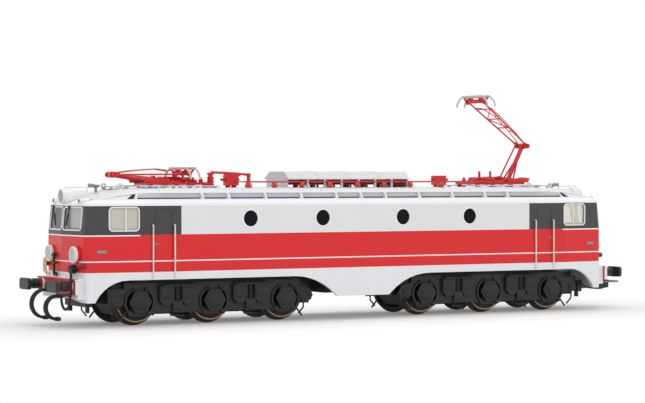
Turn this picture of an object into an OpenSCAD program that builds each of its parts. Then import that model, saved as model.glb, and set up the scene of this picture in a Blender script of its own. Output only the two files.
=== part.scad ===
// Six-axle electric locomotive, a scale model 1:87.
// Millimetres. +X runs along the locomotive to the end with the coupler, +Z is up.
// The origin is mid-length on the track's centre line, at the lowest point of the wheel flanges.

/* [Overall size] */
// Length over the faces of the buffers
length_over_buffers = 217; // [205:0.5:262]
// Width across the flat sides of the body
body_width = 34.1; // [30:0.1:42]
// Height of the side walls' top edge
wall_top = 37.85; // [34:0.05:46]
// Distance from a buffer face to the nearest bogie pivot
pivot_setback = 55.4; // [53:0.1:58]

/* [Body shell] */
// Thickness of the moulded walls
wall = 1.1; // [0.8:0.05:1.5]
// From the buffer faces back to the ridge of the end face
face_setback = 8.3; // [7.6:0.1:9.5]
// How far the end face's corners lie behind its ridge
face_sweep = 1.35; // [1:0.01:3]
// How far the top of the end face leans back
face_lean = 0.9; // [0:0.1:2.5]
// Rounding of the body's upright corners
corner_r = 2; // [1.2:0.1:3]
// How much narrower the body is at its corners, on each side
side_taper = 1.77; // [0.5:0.01:3]
// Length of the tapering stretch of the sides
taper_length = 16.8; // [12:0.1:20]
// Height of the red band's lower edge
skirt_top = 17.15; // [16:0.05:18.5]
// Height of the waist, where the end face starts to lean
waist = 28.8; // [27:0.1:30]
// Height of the skirt's lower edge between the bogies
skirt_bottom = 7.8; // [7:0.1:9]
// Height of the top of the arches over the bogies
arch_top = 14.7; // [14.2:0.1:15.2]

/* [Windows] */
// Radius of the portholes
porthole_r = 2.6; // [2:0.1:3]
// Height of the portholes' centres
porthole_z = 33.6; // [32.5:0.1:34.4]
// Length of a cab side window
side_window_l = 9.3; // [7:0.1:10]
// Lower edge of the cab windows
window_sill = 30.5; // [29.8:0.1:31.5]
// From the walls' top edge down to the cab windows' upper edge
window_drop = 0.65; // [0.55:0.05:1.4]
// Thickness of the glazing
glass_t = 0.5; // [0.3:0.1:0.7]
// Width of the bright window frames
frame_w = 0.42; // [0.3:0.02:0.6]

/* [Roof] */
// Height of the flat roof deck over the walls' top edge
deck_rise = 5.55; // [4.8:0.05:6.5]
// Half the width of the flat part of the deck
deck_half = 10.6; // [9.8:0.1:11.5]

/* [Wheels] */
// Distance between neighbouring axles in a bogie
axle_pitch = 26.1; // [25:0.1:27]
// Radius of the tread
tread_r = 7.2; // [6.8:0.1:7.4]
// Radius of the flange
flange_r = 8.1; // [7.8:0.1:8.4]
// Distance between the backs of the wheels on one axle
back_to_back = 14.4; // [14.2:0.05:14.6]
// Width of a wheel
wheel_w = 2.8; // [2.4:0.1:3]
// Radius of the axles
axle_r = 1; // [0.75:0.05:1.25]
// Radial clearance of every turning fit
running_gap = 0.05; // [0.02:0.01:0.08]

/* [Bogies] */
// Half the width of the gearbox between the wheels
gearbox_half = 6.2; // [5:0.1:6.6]
// Inner face of the bogie side frames
side_frame_y = 10.9; // [10.6:0.1:11.6]
// Thickness of the side frame plate
side_frame_t = 1.4; // [1:0.1:1.8]
// Height of the side frames
side_frame_top = 14.1; // [12.9:0.1:14.2]
// Radius of the bogie pivot pins
kingpin_r = 2; // [1.5:0.1:2.6]

/* [Buffers] */
// Height of the buffers above the flanges' lowest point
buffer_z = 13.1; // [12:0.1:14]
// Half the distance between the two buffers
buffer_y = 11.3; // [10.5:0.1:11.8]
// Width of a buffer head
buffer_head_w = 7.6; // [5:0.1:8]
// Height of a buffer head
buffer_head_h = 3.6; // [3:0.1:4.4]

/* [Pantographs] */
// From the buffer faces back to the pantograph's main pivot
panto_setback = 39.1; // [37:0.1:42]
// Length of the lower arm
lower_arm_l = 13.9; // [12:0.1:14.5]
// Length of the upper arm
upper_arm_l = 25; // [22:0.1:26]
// Lower arm's slope when the pantograph is up, in degrees
raised_lower = 62.5; // [50:0.5:68]
// Upper arm's slope when the pantograph is up, in degrees
raised_upper = 37.5; // [25:0.5:45]
// Lower arm's slope when the pantograph is folded, in degrees
folded_lower = 8.7; // [7:0.1:11]
// Upper arm's slope when the pantograph is folded, in degrees
folded_upper = 0.3; // [0:0.1:2]
// Half the length of the contact strips, over the horns
head_half = 9.9; // [8:0.1:11]

/* [Hidden] */
$fn = 48;

// Places along the locomotive, given for the +X end
end_x = length_over_buffers / 2;
ridge_x = end_x - face_setback;
pivot_x = end_x - pivot_setback;
half = body_width / 2;
window_head = wall_top - window_drop;
deck_z = wall_top + deck_rise;
taper_x = ridge_x - face_sweep - taper_length;
corner_half = half - side_taper;
axle_z = flange_r;
fit = 0.05;
arc_steps = 6;

// Slope of the end face in plan, and its lean above the waist
face_yaw = atan(face_sweep / corner_half);
face_tilt = atan(face_lean * cos(face_yaw) / (wall_top - waist));

// Cab: windows, doors and handrails, all measured back from the ridge
side_window_x = ridge_x - 18.5;
windscreen_y = half - 4.95;
post_half = 0.75;
handrail_xs = [ridge_x - 30.9, ridge_x - 23.4];
cab_back = ridge_x - 33.4;
porthole_xs = [pivot_x - 37.7, pivot_x - 11];

// Lamps, buffers and beam
headlight_y = half - 7.35;
headlight_z = 22.7;
headlight_r = 2.65;
marker_y = half - 2.85;
marker_z = 19.3;
marker_r = 0.8;
roof_lamp_z = deck_z - 2.6;
roof_lamp_r = 2.3;
small_lamp_y = 10.2;
small_lamp_z = wall_top + 1.55;
apron_x = ridge_x + 0.7;
beam_x = ridge_x + 1.8;
beam_half = half - 2.05;
beam_bottom = buffer_z - 2.6;
beam_top = buffer_z + 1.7;
apron_bottom = 9;
head_bevel = 0.15;

// Roof
cornice_top = wall_top + 1.75;
recess_bottom = cornice_top + 0.35;
recess_top = deck_z - 1.6;
recess_end = ridge_x - 18.3;
recess_y = half - 2.6;
recess_posts = [0, 9.45, 22.7, 36, 49.3, 58.7];

// Levels of the roof over the walls: height, inset at the sides, inset at the ends, corner radius
roof_levels = [
    [0, 0, 0, 2], [0.75, 0, 0.1, 2], [cornice_top - wall_top, 1.2, 4.8, 3.4],
    [recess_top - wall_top - 0.3, 1.65, 9, 5], [deck_rise - 0.5, 3.1, 14.5, 6],
    [deck_rise - 0.02, half - deck_half, 23, 7]];

// Resistor hood, busbar and switch boxes
box_inner = end_x - panto_setback - 32.2;
hood_half_l = box_inner - 13.7;
hood_bottom = deck_z + 2.8;
hood_top = deck_z + 5.25;
hood_half_w = 8.5;
hood_top_half_w = 5.1;
hood_wall = 0.6;
bank_half_w = hood_half_w - 1.3;
bus_y = -hood_half_w - 1.6;
bus_z = deck_z + 1.9;
bus_r = 0.25;
box_half_w = 1.5;
post_step = 6.5;
post_xs = [for (i = [-2.5:1:2.5]) i * post_step];
insulator_xs = [for (i = [-3:2]) i * 10.45 + 1.6];

// Pantograph, in the frame of the +X one
panto_x = end_x - panto_setback;
panto_z = deck_z + 2.1;
lift_pin_r = 0.5;
knee_r = 0.9;
rod_pin_reach = 1.6;
rod_base_z = panto_z + 1.1;
strip_up = 1.85;
strip_gap = 1.6;
strip_r = 0.42;
head_pin_half = 5.6;
bus_ends = [-box_inner - 3.6, panto_x - 13];

function knee_at(slope) = [panto_x + lower_arm_l * cos(slope), panto_z + lower_arm_l * sin(slope)];
function along_upper(slope, upper, reach) =
    knee_at(slope) + reach * [-cos(upper), sin(upper)];

// The thrust rod's lower pin lies where the rod is equally long raised and folded
raised_pin = along_upper(raised_lower, raised_upper, rod_pin_reach);
folded_pin = along_upper(folded_lower, folded_upper, rod_pin_reach);
rod_base_x = (folded_pin.x ^ 2 - raised_pin.x ^ 2
    + (folded_pin.y - rod_base_z) ^ 2 - (raised_pin.y - rod_base_z) ^ 2)
    / (2 * (folded_pin.x - raised_pin.x));
rod_base = [rod_base_x, rod_base_z];
rod_l = norm(raised_pin - rod_base);

// Folded head, and the tips of the posts that it rests on
folded_head = along_upper(folded_lower, folded_upper, upper_arm_l);
rest_x = folded_head.x + strip_gap;
rest_y = 3.4;
rest_z = folded_head.y + strip_up - strip_r - 0.25;

// Wheels and bogies
wheel_in = back_to_back / 2;
wheel_out = wheel_in + wheel_w;
rim_r = tread_r - 0.9;
axle_dx = [-axle_pitch, 0, axle_pitch];
gearbox_end = axle_pitch + 7.9;
gearbox_bottom = 3.2;
gearbox_top = 15;
headstock_x = pivot_setback - 12.9;
headstock_half = 8.5;
chassis_bottom = 2 * flange_r + 1;
chassis_top = chassis_bottom + 2;

// Coupler under the rear beam
coupler_x = beam_x - 1.6;
coupler_pin_r = 0.8;
shank_top = 8.1;
shank_bottom = 6.8;

// ---------------------------------------------------------------- helpers

module both_sides() {
    children();
    mirror([0, 1, 0]) children();
}

module both_ends() {
    children();
    mirror([1, 0, 0]) children();
}

module four_corners() {
    both_ends() both_sides() children();
}

// Outline and its mirror image
module both_flat() {
    children();
    mirror([1, 0]) children();
}

// Round rod between two points
module rod(a, b, r) {
    d = b - a;
    translate(a)
        rotate([0, acos(d.z / norm(d)), atan2(d.y, d.x)])
            cylinder(h = norm(d), r = r);
}

// Path with each inner corner rounded over `reach` on either side
function bent(points, reach) =
    let (last = len(points) - 1)
    concat([points[0]],
        [for (i = [1:last - 1]) for (t = [0:0.25:1])
            let (from = points[i] + reach * unit(points[i - 1] - points[i]))
            let (to = points[i] + reach * unit(points[i + 1] - points[i]))
            (1 - t) ^ 2 * from + 2 * t * (1 - t) * points[i] + t ^ 2 * to],
        [points[last]]);

// Wire bent in one plane, whose normal is `flat`
module wire(points, r, flat, reach = 0.5) {
    tube(bent(points, reach), r, flat);
}

// Round tube with ten sides swept along a smooth path that lies in one plane
module tube(path, r, flat) {
    sides = 10;
    last = len(path) - 1;
    rings = [for (i = [0:last])
        let (ahead = unit(path[min(i + 1, last)] - path[max(min(i, last - 1), 0)]))
        let (behind = unit(path[max(min(i, last), 1)] - path[max(i - 1, 0)]))
        let (along = unit(ahead + behind))
        let (across = cross(along, flat) / max(along * ahead, 0.5))
        for (k = [0:sides - 1])
            path[i] + r * (cos(k * 360 / sides) * flat + sin(k * 360 / sides) * across)];
    polyhedron(rings, concat(
        [[for (k = [0:sides - 1]) k]],
        [for (i = [0:last - 1]) for (k = [0:sides - 1])
            let (a = i * sides + k, b = i * sides + (k + 1) % sides)
            each [[b, a, b + sides], [b + sides, a, a + sides]]],
        [[for (k = [sides - 1:-1:0]) last * sides + k]]));
}

// Box between two corners
module block(low, high) {
    translate(low) cube(high - low);
}

// Cylinder along X or along Y
module along_x(x0, x1, y, z, r) {
    translate([x0, y, z]) rotate([0, 90, 0]) cylinder(h = x1 - x0, r = r);
}

module along_y(x, y0, y1, z, r) {
    translate([x, y1, z]) rotate([90, 0, 0]) cylinder(h = y1 - y0, r = r);
}

// Outline drawn in X and Z, filled from y0 to y1
module slab_y(y0, y1) {
    translate([0, y1, 0]) rotate([90, 0, 0]) linear_extrude(y1 - y0) children();
}

// Outline drawn in Y and Z, filled from x0 to x1
module slab_x(x0, x1) {
    translate([x0, 0, 0]) rotate([90, 0, 90]) linear_extrude(x1 - x0) children();
}

function unit(v) = v / norm(v);

function slope_of(v) = atan2(v.y, v.x);

// Points that round one corner of an outline; the corner is [x, y, radius]
function round_corner(before, at, after) =
    let (p = [at[0], at[1]])
    let (u = unit([before[0], before[1]] - p), w = unit([after[0], after[1]] - p))
    let (half_angle = acos(u * w) / 2)
    let (centre = p + unit(u + w) * at[2] / sin(half_angle))
    let (start = p + u * at[2] / tan(half_angle) - centre)
    let (finish = p + w * at[2] / tan(half_angle) - centre)
    let (from = atan2(start[1], start[0]))
    let (turn = (atan2(finish[1], finish[0]) - from + 540) % 360 - 180)
    at[2] == 0 ? [p] :
    [for (i = [0:arc_steps])
        centre + at[2] * [cos(from + turn * i / arc_steps), sin(from + turn * i / arc_steps)]];

function rounded(corners) =
    let (n = len(corners))
    [for (i = [0:n - 1])
        each round_corner(corners[(i + n - 1) % n], corners[i], corners[(i + 1) % n])];

function rounded_box(x0, y0, x1, y1, r) =
    rounded([[x0, y0, r], [x1, y0, r], [x1, y1, r], [x0, y1, r]]);

// Plan of the body, pulled in by `inset` at the sides and by `back` at the ends
module body_plan(inset, back, r) {
    quarter = [
        [ridge_x - back, 0, 0],
        [ridge_x - back - face_sweep, corner_half - inset, r],
        [taper_x - back, half - inset, 0]];
    left = [for (i = [2:-1:0]) [-quarter[i][0], quarter[i][1], quarter[i][2]]];
    top = concat(quarter, left);
    bottom = [for (i = [len(top) - 2:-1:1]) [top[i][0], -top[i][1], top[i][2]]];
    polygon(rounded(concat(top, bottom)));
}

module body_slice(z, inset, back, r) {
    translate([0, 0, z]) linear_extrude(0.02) body_plan(inset, back, r);
}

// Frame of the upright end face: X out of it, Y along it away from the ridge
module on_face() {
    translate([ridge_x, 0, 0]) rotate([0, 0, face_yaw]) children();
}

// Frame of the leaning end face above the waist: X out, Y away from the ridge, Z up the face
module on_windscreen() {
    translate([ridge_x, 0, waist]) rotate([0, 0, face_yaw]) rotate([0, -face_tilt, 0]) children();
}

function up_face(z) = (z - waist) / cos(face_tilt);

// ---------------------------------------------------------------- body

module windscreen_outline(grow) {
    polygon(rounded_box(post_half - grow, up_face(window_sill) - grow,
        windscreen_y / cos(face_yaw) + grow, up_face(window_head) + grow, 0.8 + grow));
}

module side_window_outline(grow) {
    polygon(rounded_box(side_window_x - grow, window_sill - 0.2 - grow,
        side_window_x + side_window_l + grow, window_head + grow, 1 + grow));
}

// Opening over one bogie, cut out of the skirt
module arch_outline() {
    inner = pivot_x - 42.4;
    outer = ridge_x - 4.7;
    low = skirt_bottom - 3;
    polygon(rounded([
        [inner - 4, low, 0],
        [inner + (arch_top - skirt_bottom) * 0.95, arch_top, 22],
        [outer - (arch_top - skirt_bottom) * 0.51, arch_top, 12],
        [outer + 1.8, low, 0]]));
}

module door_groove() {
    x0 = handrail_xs[0] + 0.7;
    x1 = handrail_xs[1] - 0.7;
    slab_y(half - 0.15, half + 1) difference() {
        polygon(rounded_box(x0, skirt_top + 0.3, x1, wall_top - 1.2, 0.6));
        polygon(rounded_box(x0 + 0.16, skirt_top + 0.46, x1 - 0.16, wall_top - 1.36, 0.44));
    }
}

module body_shell() {
    color("firebrick") difference() {
        union() {
            translate([0, 0, skirt_bottom])
                linear_extrude(waist - skirt_bottom) body_plan(0, 0, corner_r);
            hull() {
                body_slice(waist, 0, 0, corner_r);
                body_slice(wall_top - 0.02, 0, face_lean, corner_r);
            }
            both_ends() block([ridge_x - 4, 1 - beam_half, apron_bottom],
                [apron_x, beam_half - 1, beam_top + 0.6]);
            both_sides() for (x = porthole_xs) for (s = [-1, 1])
                along_y(s * x, half - 0.5, half + 0.12, porthole_z, porthole_r + 0.35);
        }
        // the hollow inside, and the open top and bottom
        linear_extrude(waist + 0.02) body_plan(wall, wall, corner_r - 0.8);
        hull() {
            body_slice(waist, wall, wall, corner_r - 0.8);
            body_slice(wall_top, wall, wall + face_lean, corner_r - 0.8);
        }
        both_ends() {
            slab_y(-half - 1, half + 1) arch_outline();
            // lower front edge, rising to the apron
            slab_y(-half - 1, half + 1) polygon([
                [ridge_x - 2.6, skirt_bottom - 1], [ridge_x + 3, skirt_bottom - 1],
                [ridge_x + 3, apron_bottom], [ridge_x - 1.4, apron_bottom]]);
            both_sides() {
                on_windscreen() slab_x(-wall - 2, 1) windscreen_outline(0);
                at_side_window() slab_y(-wall - 1.5, 1) side_pane_outline(0);
                for (x = porthole_xs) along_y(x, half - wall - 1, half + 1, porthole_z, porthole_r);
                along_x(ridge_x - 6, ridge_x + 2, headlight_y, headlight_z, headlight_r + fit);
                along_x(ridge_x - 6, ridge_x + 2, marker_y, marker_z, marker_r + fit);
                door_groove();
            }
        }
    }
}

module roof_hull(in, drop) {
    hull() for (level = roof_levels)
        body_slice(wall_top + level[0] - (level[0] > 1 ? drop : 0), level[1] + in,
            face_lean + level[2] + in, level[3] - (in > 0 ? 0.8 : 0), $fn = 32);
}

module roof_shell() {
    color("gainsboro") difference() {
        union() {
            difference() {
                roof_hull(0, 0);
                both_ends() along_x(ridge_x - 3.4 - fit, ridge_x + 2, 0, roof_lamp_z, roof_lamp_r + fit);
                both_sides() slab_y(recess_y, half + 1) difference() {
                    polygon([[-recess_end - 3, recess_bottom], [recess_end + 3, recess_bottom],
                        [recess_end, recess_top], [-recess_end, recess_top]]);
                    for (x = concat(recess_posts, -recess_posts))
                        translate([x - 0.4, recess_bottom - 1]) square([0.8, 4]);
                    both_flat() polygon([
                        [recess_end + 0.2, recess_bottom - 1], [recess_end + 0.9, recess_bottom - 1],
                        [recess_end - 1.2, recess_top + 1], [recess_end - 1.9, recess_top + 1]]);
                }
            }
            // housing of the big lamp, let into the nose
            both_ends() along_x(ridge_x - 8, ridge_x - 0.5, 0, roof_lamp_z, roof_lamp_r - 0.4);
        }
        intersection() {
            roof_hull(wall, wall);
            both_sides() union() {
                block([-ridge_x, -half, 0], [ridge_x, half, cornice_top - wall + 0.2]);
                block([-ridge_x, wall - recess_y, 0], [ridge_x, recess_y - wall, deck_z]);
            }
        }
        both_ends() along_x(ridge_x - 5, ridge_x + 2, 0, roof_lamp_z, roof_lamp_r - 0.9);
        both_ends() both_sides()
            along_x(ridge_x - 6, ridge_x + 2, small_lamp_y, small_lamp_z, 0.7 + fit);
    }
}

// Height of the roof on its centre line
function roof_z(x) =
    lookup(x, [for (level = roof_levels) [ridge_x - face_lean - level[2], wall_top + level[0]]]);

module chassis_frame() {
    color("dimgray") difference() {
        union() {
            // floor plate that fills the shell
            translate([0, 0, chassis_bottom]) linear_extrude(chassis_top - chassis_bottom)
                body_plan(wall + fit, wall + 2 * fit, corner_r - 0.8);
            // closed box between the bogies
            block([-13, 3 - half, skirt_bottom + 1], [13, half - 3, chassis_bottom + 0.1]);
            both_ends() translate([pivot_x, 0, gearbox_top - 4])
                cylinder(h = chassis_bottom - gearbox_top + 4.1, r = kingpin_r);
            both_ends() translate([pivot_x, 0, gearbox_top + 0.3])
                cylinder(h = chassis_bottom - gearbox_top, r = kingpin_r + 2.5);
            // bracket and pin of the coupler
            block([coupler_x - 2.2, -2.6, shank_top + 0.1], [coupler_x + 2.1, 2.6, apron_bottom]);
            translate([coupler_x, 0, shank_bottom - 0.2])
                cylinder(h = apron_bottom - shank_bottom, r = coupler_pin_r);
        }
        translate([0, 0, skirt_bottom]) linear_extrude(6, center = true) square([22, 22], center = true);
        // room for the tails of the marker lamps
        four_corners() along_x(ridge_x - 3.6, ridge_x, marker_y, marker_z, marker_r + 2 * fit);
    }
}

module motor_block() {
    color("slategray") block([-porthole_xs[1] + 4, -10.5, chassis_top],
        [porthole_xs[1] - 4, 10.5, porthole_z - porthole_r - 1.4]);
}

// Moulded cab insert: floor, rear wall, desk and two seats
module cab_interior() {
    in_y = corner_half - wall - 0.6;
    floor_z = chassis_top + 0.8;
    desk_x = ridge_x - 9;
    union() {
        block([cab_back, -in_y, chassis_top], [ridge_x - 4.6, in_y, floor_z]);
        block([cab_back, -in_y, chassis_top], [cab_back + 1, in_y, wall_top - 0.3]);
        block([desk_x, -in_y, chassis_top], [ridge_x - 5.5, in_y, waist - 0.6]);
        slab_y(-in_y + 2, in_y - 2) polygon([
            [desk_x - 1.8, waist - 2], [desk_x + 0.1, waist - 2.4],
            [desk_x + 0.1, waist - 0.6], [desk_x - 1.4, waist - 1]]);
        both_sides() {
            translate([desk_x - 7, 6.5, chassis_top]) cylinder(h = 4, r = 0.8);
            block([desk_x - 9.2, 4.2, floor_z + 3], [desk_x - 4.8, 8.8, floor_z + 4.2]);
            slab_y(4.2, 8.8) polygon([[desk_x - 9.2, floor_z + 3.2], [desk_x - 8.2, floor_z + 3.2],
                [desk_x - 8.9, floor_z + 9.6], [desk_x - 9.8, floor_z + 9.6]]);
        }
    }
}

module front_cab_interior() {
    color("tan") mirror([1, 0, 0]) cab_interior();
}

module rear_cab_interior() {
    color("tan") cab_interior();
}

module windscreens() {
    color("lightblue") four_corners() on_windscreen()
        slab_x(-glass_t - 0.3, -0.3) windscreen_outline(-fit);
}

module side_windows() {
    color("lightblue") four_corners() at_side_window() slab_y(-0.3 - glass_t, -0.3)
        side_pane_outline(-fit);
}

// Frame of the tapering cab side: X along it from the taper's start, Y out of it
module at_side_window() {
    run = ridge_x - face_sweep - taper_x;
    translate([taper_x, half, 0]) rotate([0, 0, -atan(side_taper / run)]) children();
}

module side_pane_outline(grow) {
    translate([-taper_x, 0]) side_window_outline(grow);
}

module porthole_glass() {
    color("black") four_corners() for (x = porthole_xs)
        along_y(x, half - 0.35 - glass_t, half - 0.35, porthole_z, porthole_r - fit);
}

module window_frames() {
    color("silver") four_corners() {
        on_windscreen() slab_x(0.01, 0.26) difference() {
            windscreen_outline(frame_w);
            windscreen_outline(0);
        }
        at_side_window() {
            slab_y(0, 0.22) difference() {
                side_pane_outline(frame_w);
                side_pane_outline(0);
            }
            // bar between the fixed and the sliding pane
            block([side_window_x - taper_x + side_window_l * 0.42, -0.25, window_sill - 0.2 + fit],
                [side_window_x - taper_x + side_window_l * 0.42 + 0.35, 0.15, window_head - fit]);
        }
    }
}

module bufferbeams() {
    color("firebrick") both_ends() {
        difference() {
            union() {
                block([apron_x, -beam_half, beam_bottom], [beam_x, beam_half, beam_top]);
                block([apron_x, -beam_half - 0.2, beam_top], [beam_x + 0.3, beam_half + 0.2, beam_top + 0.4]);
            }
            both_sides() along_x(apron_x - 1, beam_x + 1, buffer_y, buffer_z, 1.2 + fit);
            along_x(apron_x - 1, beam_x + 1, 0, buffer_z - 0.4, 0.5 + fit);
        }
        both_sides() difference() {
            along_x(beam_x, beam_x + 0.8, buffer_y, buffer_z, 2.1);
            along_x(beam_x - 1, beam_x + 2, buffer_y, buffer_z, 1.2 + fit);
        }
    }
}

module buffers() {
    color("black") four_corners() {
        along_x(apron_x, end_x - 1.1, buffer_y, buffer_z, 1.2);
        along_x(beam_x + 0.9, beam_x + 3.4, buffer_y, buffer_z, 1.65);
        slab_x(end_x - 1.2, end_x - head_bevel) buffer_head_outline(0);
        slab_x(end_x - 1.1, end_x) buffer_head_outline(head_bevel);
    }
}

module buffer_head_outline(inset) {
    half_w = buffer_head_w / 2 - inset;
    half_h = buffer_head_h / 2 - inset;
    translate([buffer_y, buffer_z]) polygon(rounded_box(-half_w, -half_h, half_w, half_h, 1 - inset));
}

module lower_headlights() {
    color("silver") four_corners() difference() {
        union() {
            along_x(ridge_x - 3.2, ridge_x + 0.5, headlight_y, headlight_z, headlight_r);
            along_x(ridge_x + 0.5, ridge_x + 0.7, headlight_y, headlight_z, headlight_r - 0.2);
        }
        along_x(ridge_x - 0.1, ridge_x + 2, headlight_y, headlight_z, headlight_r - 0.55);
    }
}

module lamp_lenses() {
    color("whitesmoke") both_ends() {
        both_sides() along_x(ridge_x - 0.1, ridge_x + 0.45, headlight_y, headlight_z, headlight_r - 0.6);
        along_x(ridge_x - 0.1, ridge_x + 0.3, 0, roof_lamp_z, roof_lamp_r - 0.4);
        both_sides() along_x(ridge_x - 1.7, ridge_x - 1.35, small_lamp_y, small_lamp_z, 0.6);
    }
}

module marker_lamps() {
    color("darkred") four_corners() {
        along_x(ridge_x - 3.4, ridge_x - 0.3, marker_y, marker_z, marker_r);
        translate([ridge_x - 0.3, marker_y, marker_z]) sphere(r = marker_r - 0.25);
    }
}

// Bright rims of the big roof lamp and of the two small ones beside it
module roof_lamps() {
    color("silver") both_ends() {
        difference() {
            along_x(ridge_x - 3.4, ridge_x + 0.4, 0, roof_lamp_z, roof_lamp_r);
            along_x(ridge_x - 0.1, ridge_x + 1, 0, roof_lamp_z, roof_lamp_r - 0.35);
            along_x(ridge_x - 4, ridge_x - 0.45, 0, roof_lamp_z, roof_lamp_r - 0.4 + fit);
        }
        both_sides() difference() {
            union() {
                along_x(ridge_x - 4.5, ridge_x - 1.4, small_lamp_y, small_lamp_z, 0.7);
                along_x(ridge_x - 1.9, ridge_x - 1.4, small_lamp_y, small_lamp_z, 0.9);
            }
            along_x(ridge_x - 1.7, ridge_x - 1, small_lamp_y, small_lamp_z, 0.62);
        }
    }
}

// Wiper whose blade swings in from y_top at its spindle to y_low at its tip
module wiper(y_top, y_low) {
    top = up_face(window_head) + frame_w;
    swing = y_low - y_top;
    on_windscreen() {
        translate([0.27, y_top, top - 0.1]) rotate([0, 90, 0]) cylinder(h = 0.5, r = 0.4);
        rod([0.55, y_top, top - 0.1], [0.4, y_top + swing * 0.6, top - 3.8], 0.2);
        rod([0.3, y_top + swing * 0.4, top - 2.4], [0.3, y_low, top - 6.1], 0.27);
    }
}

// The two wipers of an end differ, and the ends are each other turned about
module wipers() {
    color("black") for (turn = [0, 180]) rotate([0, 0, turn]) {
        wiper(4.3, 2.9);
        mirror([0, 1, 0]) wiper(9.6, 6.7);
    }
}

module cab_handrails() {
    color("silver") four_corners() for (x = handrail_xs) wire([
        [x, half, skirt_top - 1.65], [x, half + 0.6, skirt_top - 1.65],
        [x, half + 0.6, waist + 3.05], [x, half, waist + 3.05]], 0.26, [1, 0, 0], 0.25);
}

// ---------------------------------------------------------------- front end fittings

// Points of an arc around `centre`, in the plane spanned by two directions
function arc(centre, r, right, up, from, to, steps = 12) =
    [for (i = [0:steps]) let (a = from + (to - from) * i / steps)
        centre + r * (cos(a) * right + sin(a) * up)];

// Brake hoses: pairs beside the hook, each hanging in an open loop
module air_hose(y, stub_x, top_z) {
    loop_r = (top_z - 2.5) / 2;
    loop_x = beam_x + 1.2;
    color("black") {
        tube(concat([[stub_x, y, top_z]],
            arc([loop_x, y, top_z - loop_r], loop_r, [1, 0, 0], [0, 0, 1], 90, -96)), 0.45, [0, 1, 0]);
        along_x(beam_x + 0.05, beam_x + 0.75, y, top_z, 0.72);
        rod([loop_x + 0.3, y, top_z - 2 * loop_r - 0.05], [loop_x - 1, y, top_z - 2 * loop_r + 0.05], 0.62);
    }
}

module front_air_hoses() {
    mirror([1, 0, 0]) {
        for (y = [6.2, 7.7]) air_hose(y, beam_x + 0.02, beam_bottom + 0.8);
        for (y = [-1.9, -3.5]) air_hose(y, apron_x + 0.02, beam_bottom - 0.75);
    }
}

module front_jumper_cable() {
    mid_y = -8.6;
    loop_r = 3.3;
    bar_z = beam_bottom - 0.35;
    cable_x = beam_x + 0.6;
    color("black") mirror([1, 0, 0]) {
        block([apron_x + 0.02, mid_y - 1, bar_z - 0.3], [cable_x, mid_y + 1, bar_z + 0.3]);
        block([beam_x + 0.1, mid_y - loop_r - 0.5, bar_z - 0.3],
            [beam_x + 1.1, mid_y + loop_r + 0.5, bar_z + 0.3]);
        tube(concat([[cable_x, mid_y + loop_r, bar_z]],
            arc([cable_x, mid_y, bar_z - 1.1], loop_r, [0, 1, 0], [0, 0, 1], 0, -180),
            [[cable_x, mid_y - loop_r, bar_z]]), 0.42, [1, 0, 0]);
    }
}

module front_jumper_socket() {
    color("black") mirror([1, 0, 0]) mirror([0, 1, 0]) on_face() {
        block([0, 6.7, 16.9], [1.2, 9.3, 19.5]);
        along_x(1.1, 1.7, 8, 18.2, 1.05);
        along_y(0.65, 9.2, 10.8, 18.2, 0.5);
    }
}

// Flat bow standing on edge between the headlight and the marker lamp
module front_bow_rail() {
    y = (headlight_y + headlight_r + marker_y - marker_r) / 2;
    low = beam_top + 0.8;
    high = low + 6.7;
    color("navajowhite") mirror([1, 0, 0]) on_face() slab_y(y - 0.4, y + 0.4) difference() {
        polygon(rounded([[0, low, 0], [1, low, 0.6], [2.1, low + 1.6, 1],
            [2.1, high - 1.6, 1], [1, high, 0.6], [0, high, 0]]));
        polygon(rounded([[-1, low + 1, 0], [0.6, low + 1, 0.3], [1, low + 2, 0.5],
            [1, high - 2, 0.5], [0.6, high - 1, 0.3], [-1, high - 1, 0]]));
    }
}

module front_lamp_bracket() {
    color("black") mirror([1, 0, 0]) on_face() {
        rod([0.9, 5.2, 15.9], [0.9, 5.2, 22.9], 0.42);
        for (z = [16.6, 19.8, 22.4]) rod([0.9, 5.2, z], [0, 5.2, z], 0.32);
        rod([0.9, 5.2, 22.7], [0.9, 6.9, 22.3], 0.38);
        rod([0.9, 5.2, 19.8], [0.9, 3.2, 19.8], 0.34);
        rod([0.9, 5.2, 16.1], [0.9, 2.5, 16.1], 0.4);
    }
}

module draw_hooks() {
    color("dimgray") both_ends() {
        along_x(apron_x, beam_x + 1.2, 0, buffer_z - 0.4, 0.5);
        slab_y(-0.45, 0.45) translate([beam_x + 1, buffer_z - 0.4]) difference() {
            polygon(rounded([[0, -0.6, 0], [1.9, -1.1, 0.5], [2.9, -0.2, 0.6], [2.7, 1.3, 0.3],
                [2, 1.3, 0.2], [0.3, 0.7, 0.2], [0, 0.6, 0]]));
            translate([1.75, 0.55]) circle(r = 0.5);
        }
    }
}

// ---------------------------------------------------------------- rear coupler

module rear_coupler() {
    color("black") difference() {
        union() {
            translate([coupler_x, 0, shank_bottom]) cylinder(h = shank_top - shank_bottom, r = 1.9);
            block([coupler_x, -1.5, shank_bottom], [coupler_x + 7, 1.5, shank_top]);
            block([coupler_x + 6.5, -2.6, 6.4], [coupler_x + 9, 2.6, 10.1]);
            slab_y(-1.4, 1.4) polygon([[coupler_x + 8.9, 6.4], [coupler_x + 12.6, 6.9],
                [coupler_x + 12.6, 9.3], [coupler_x + 11.8, 10.1], [coupler_x + 11.2, 8.2],
                [coupler_x + 8.9, 8.2]]);
        }
        translate([coupler_x, 0, 0]) cylinder(h = 20, r = coupler_pin_r + running_gap);
    }
}

module rear_coupler_loop() {
    x = coupler_x + 7.9;
    tip = coupler_x + 15.7;
    color("gray") {
        both_sides() block([x, 2.65, 8.75], [tip, 3.25, 9.35]);
        block([tip - 0.6, -3.25, 8.75], [tip, 3.25, 9.35]);
    }
}

// ---------------------------------------------------------------- roof equipment

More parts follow.
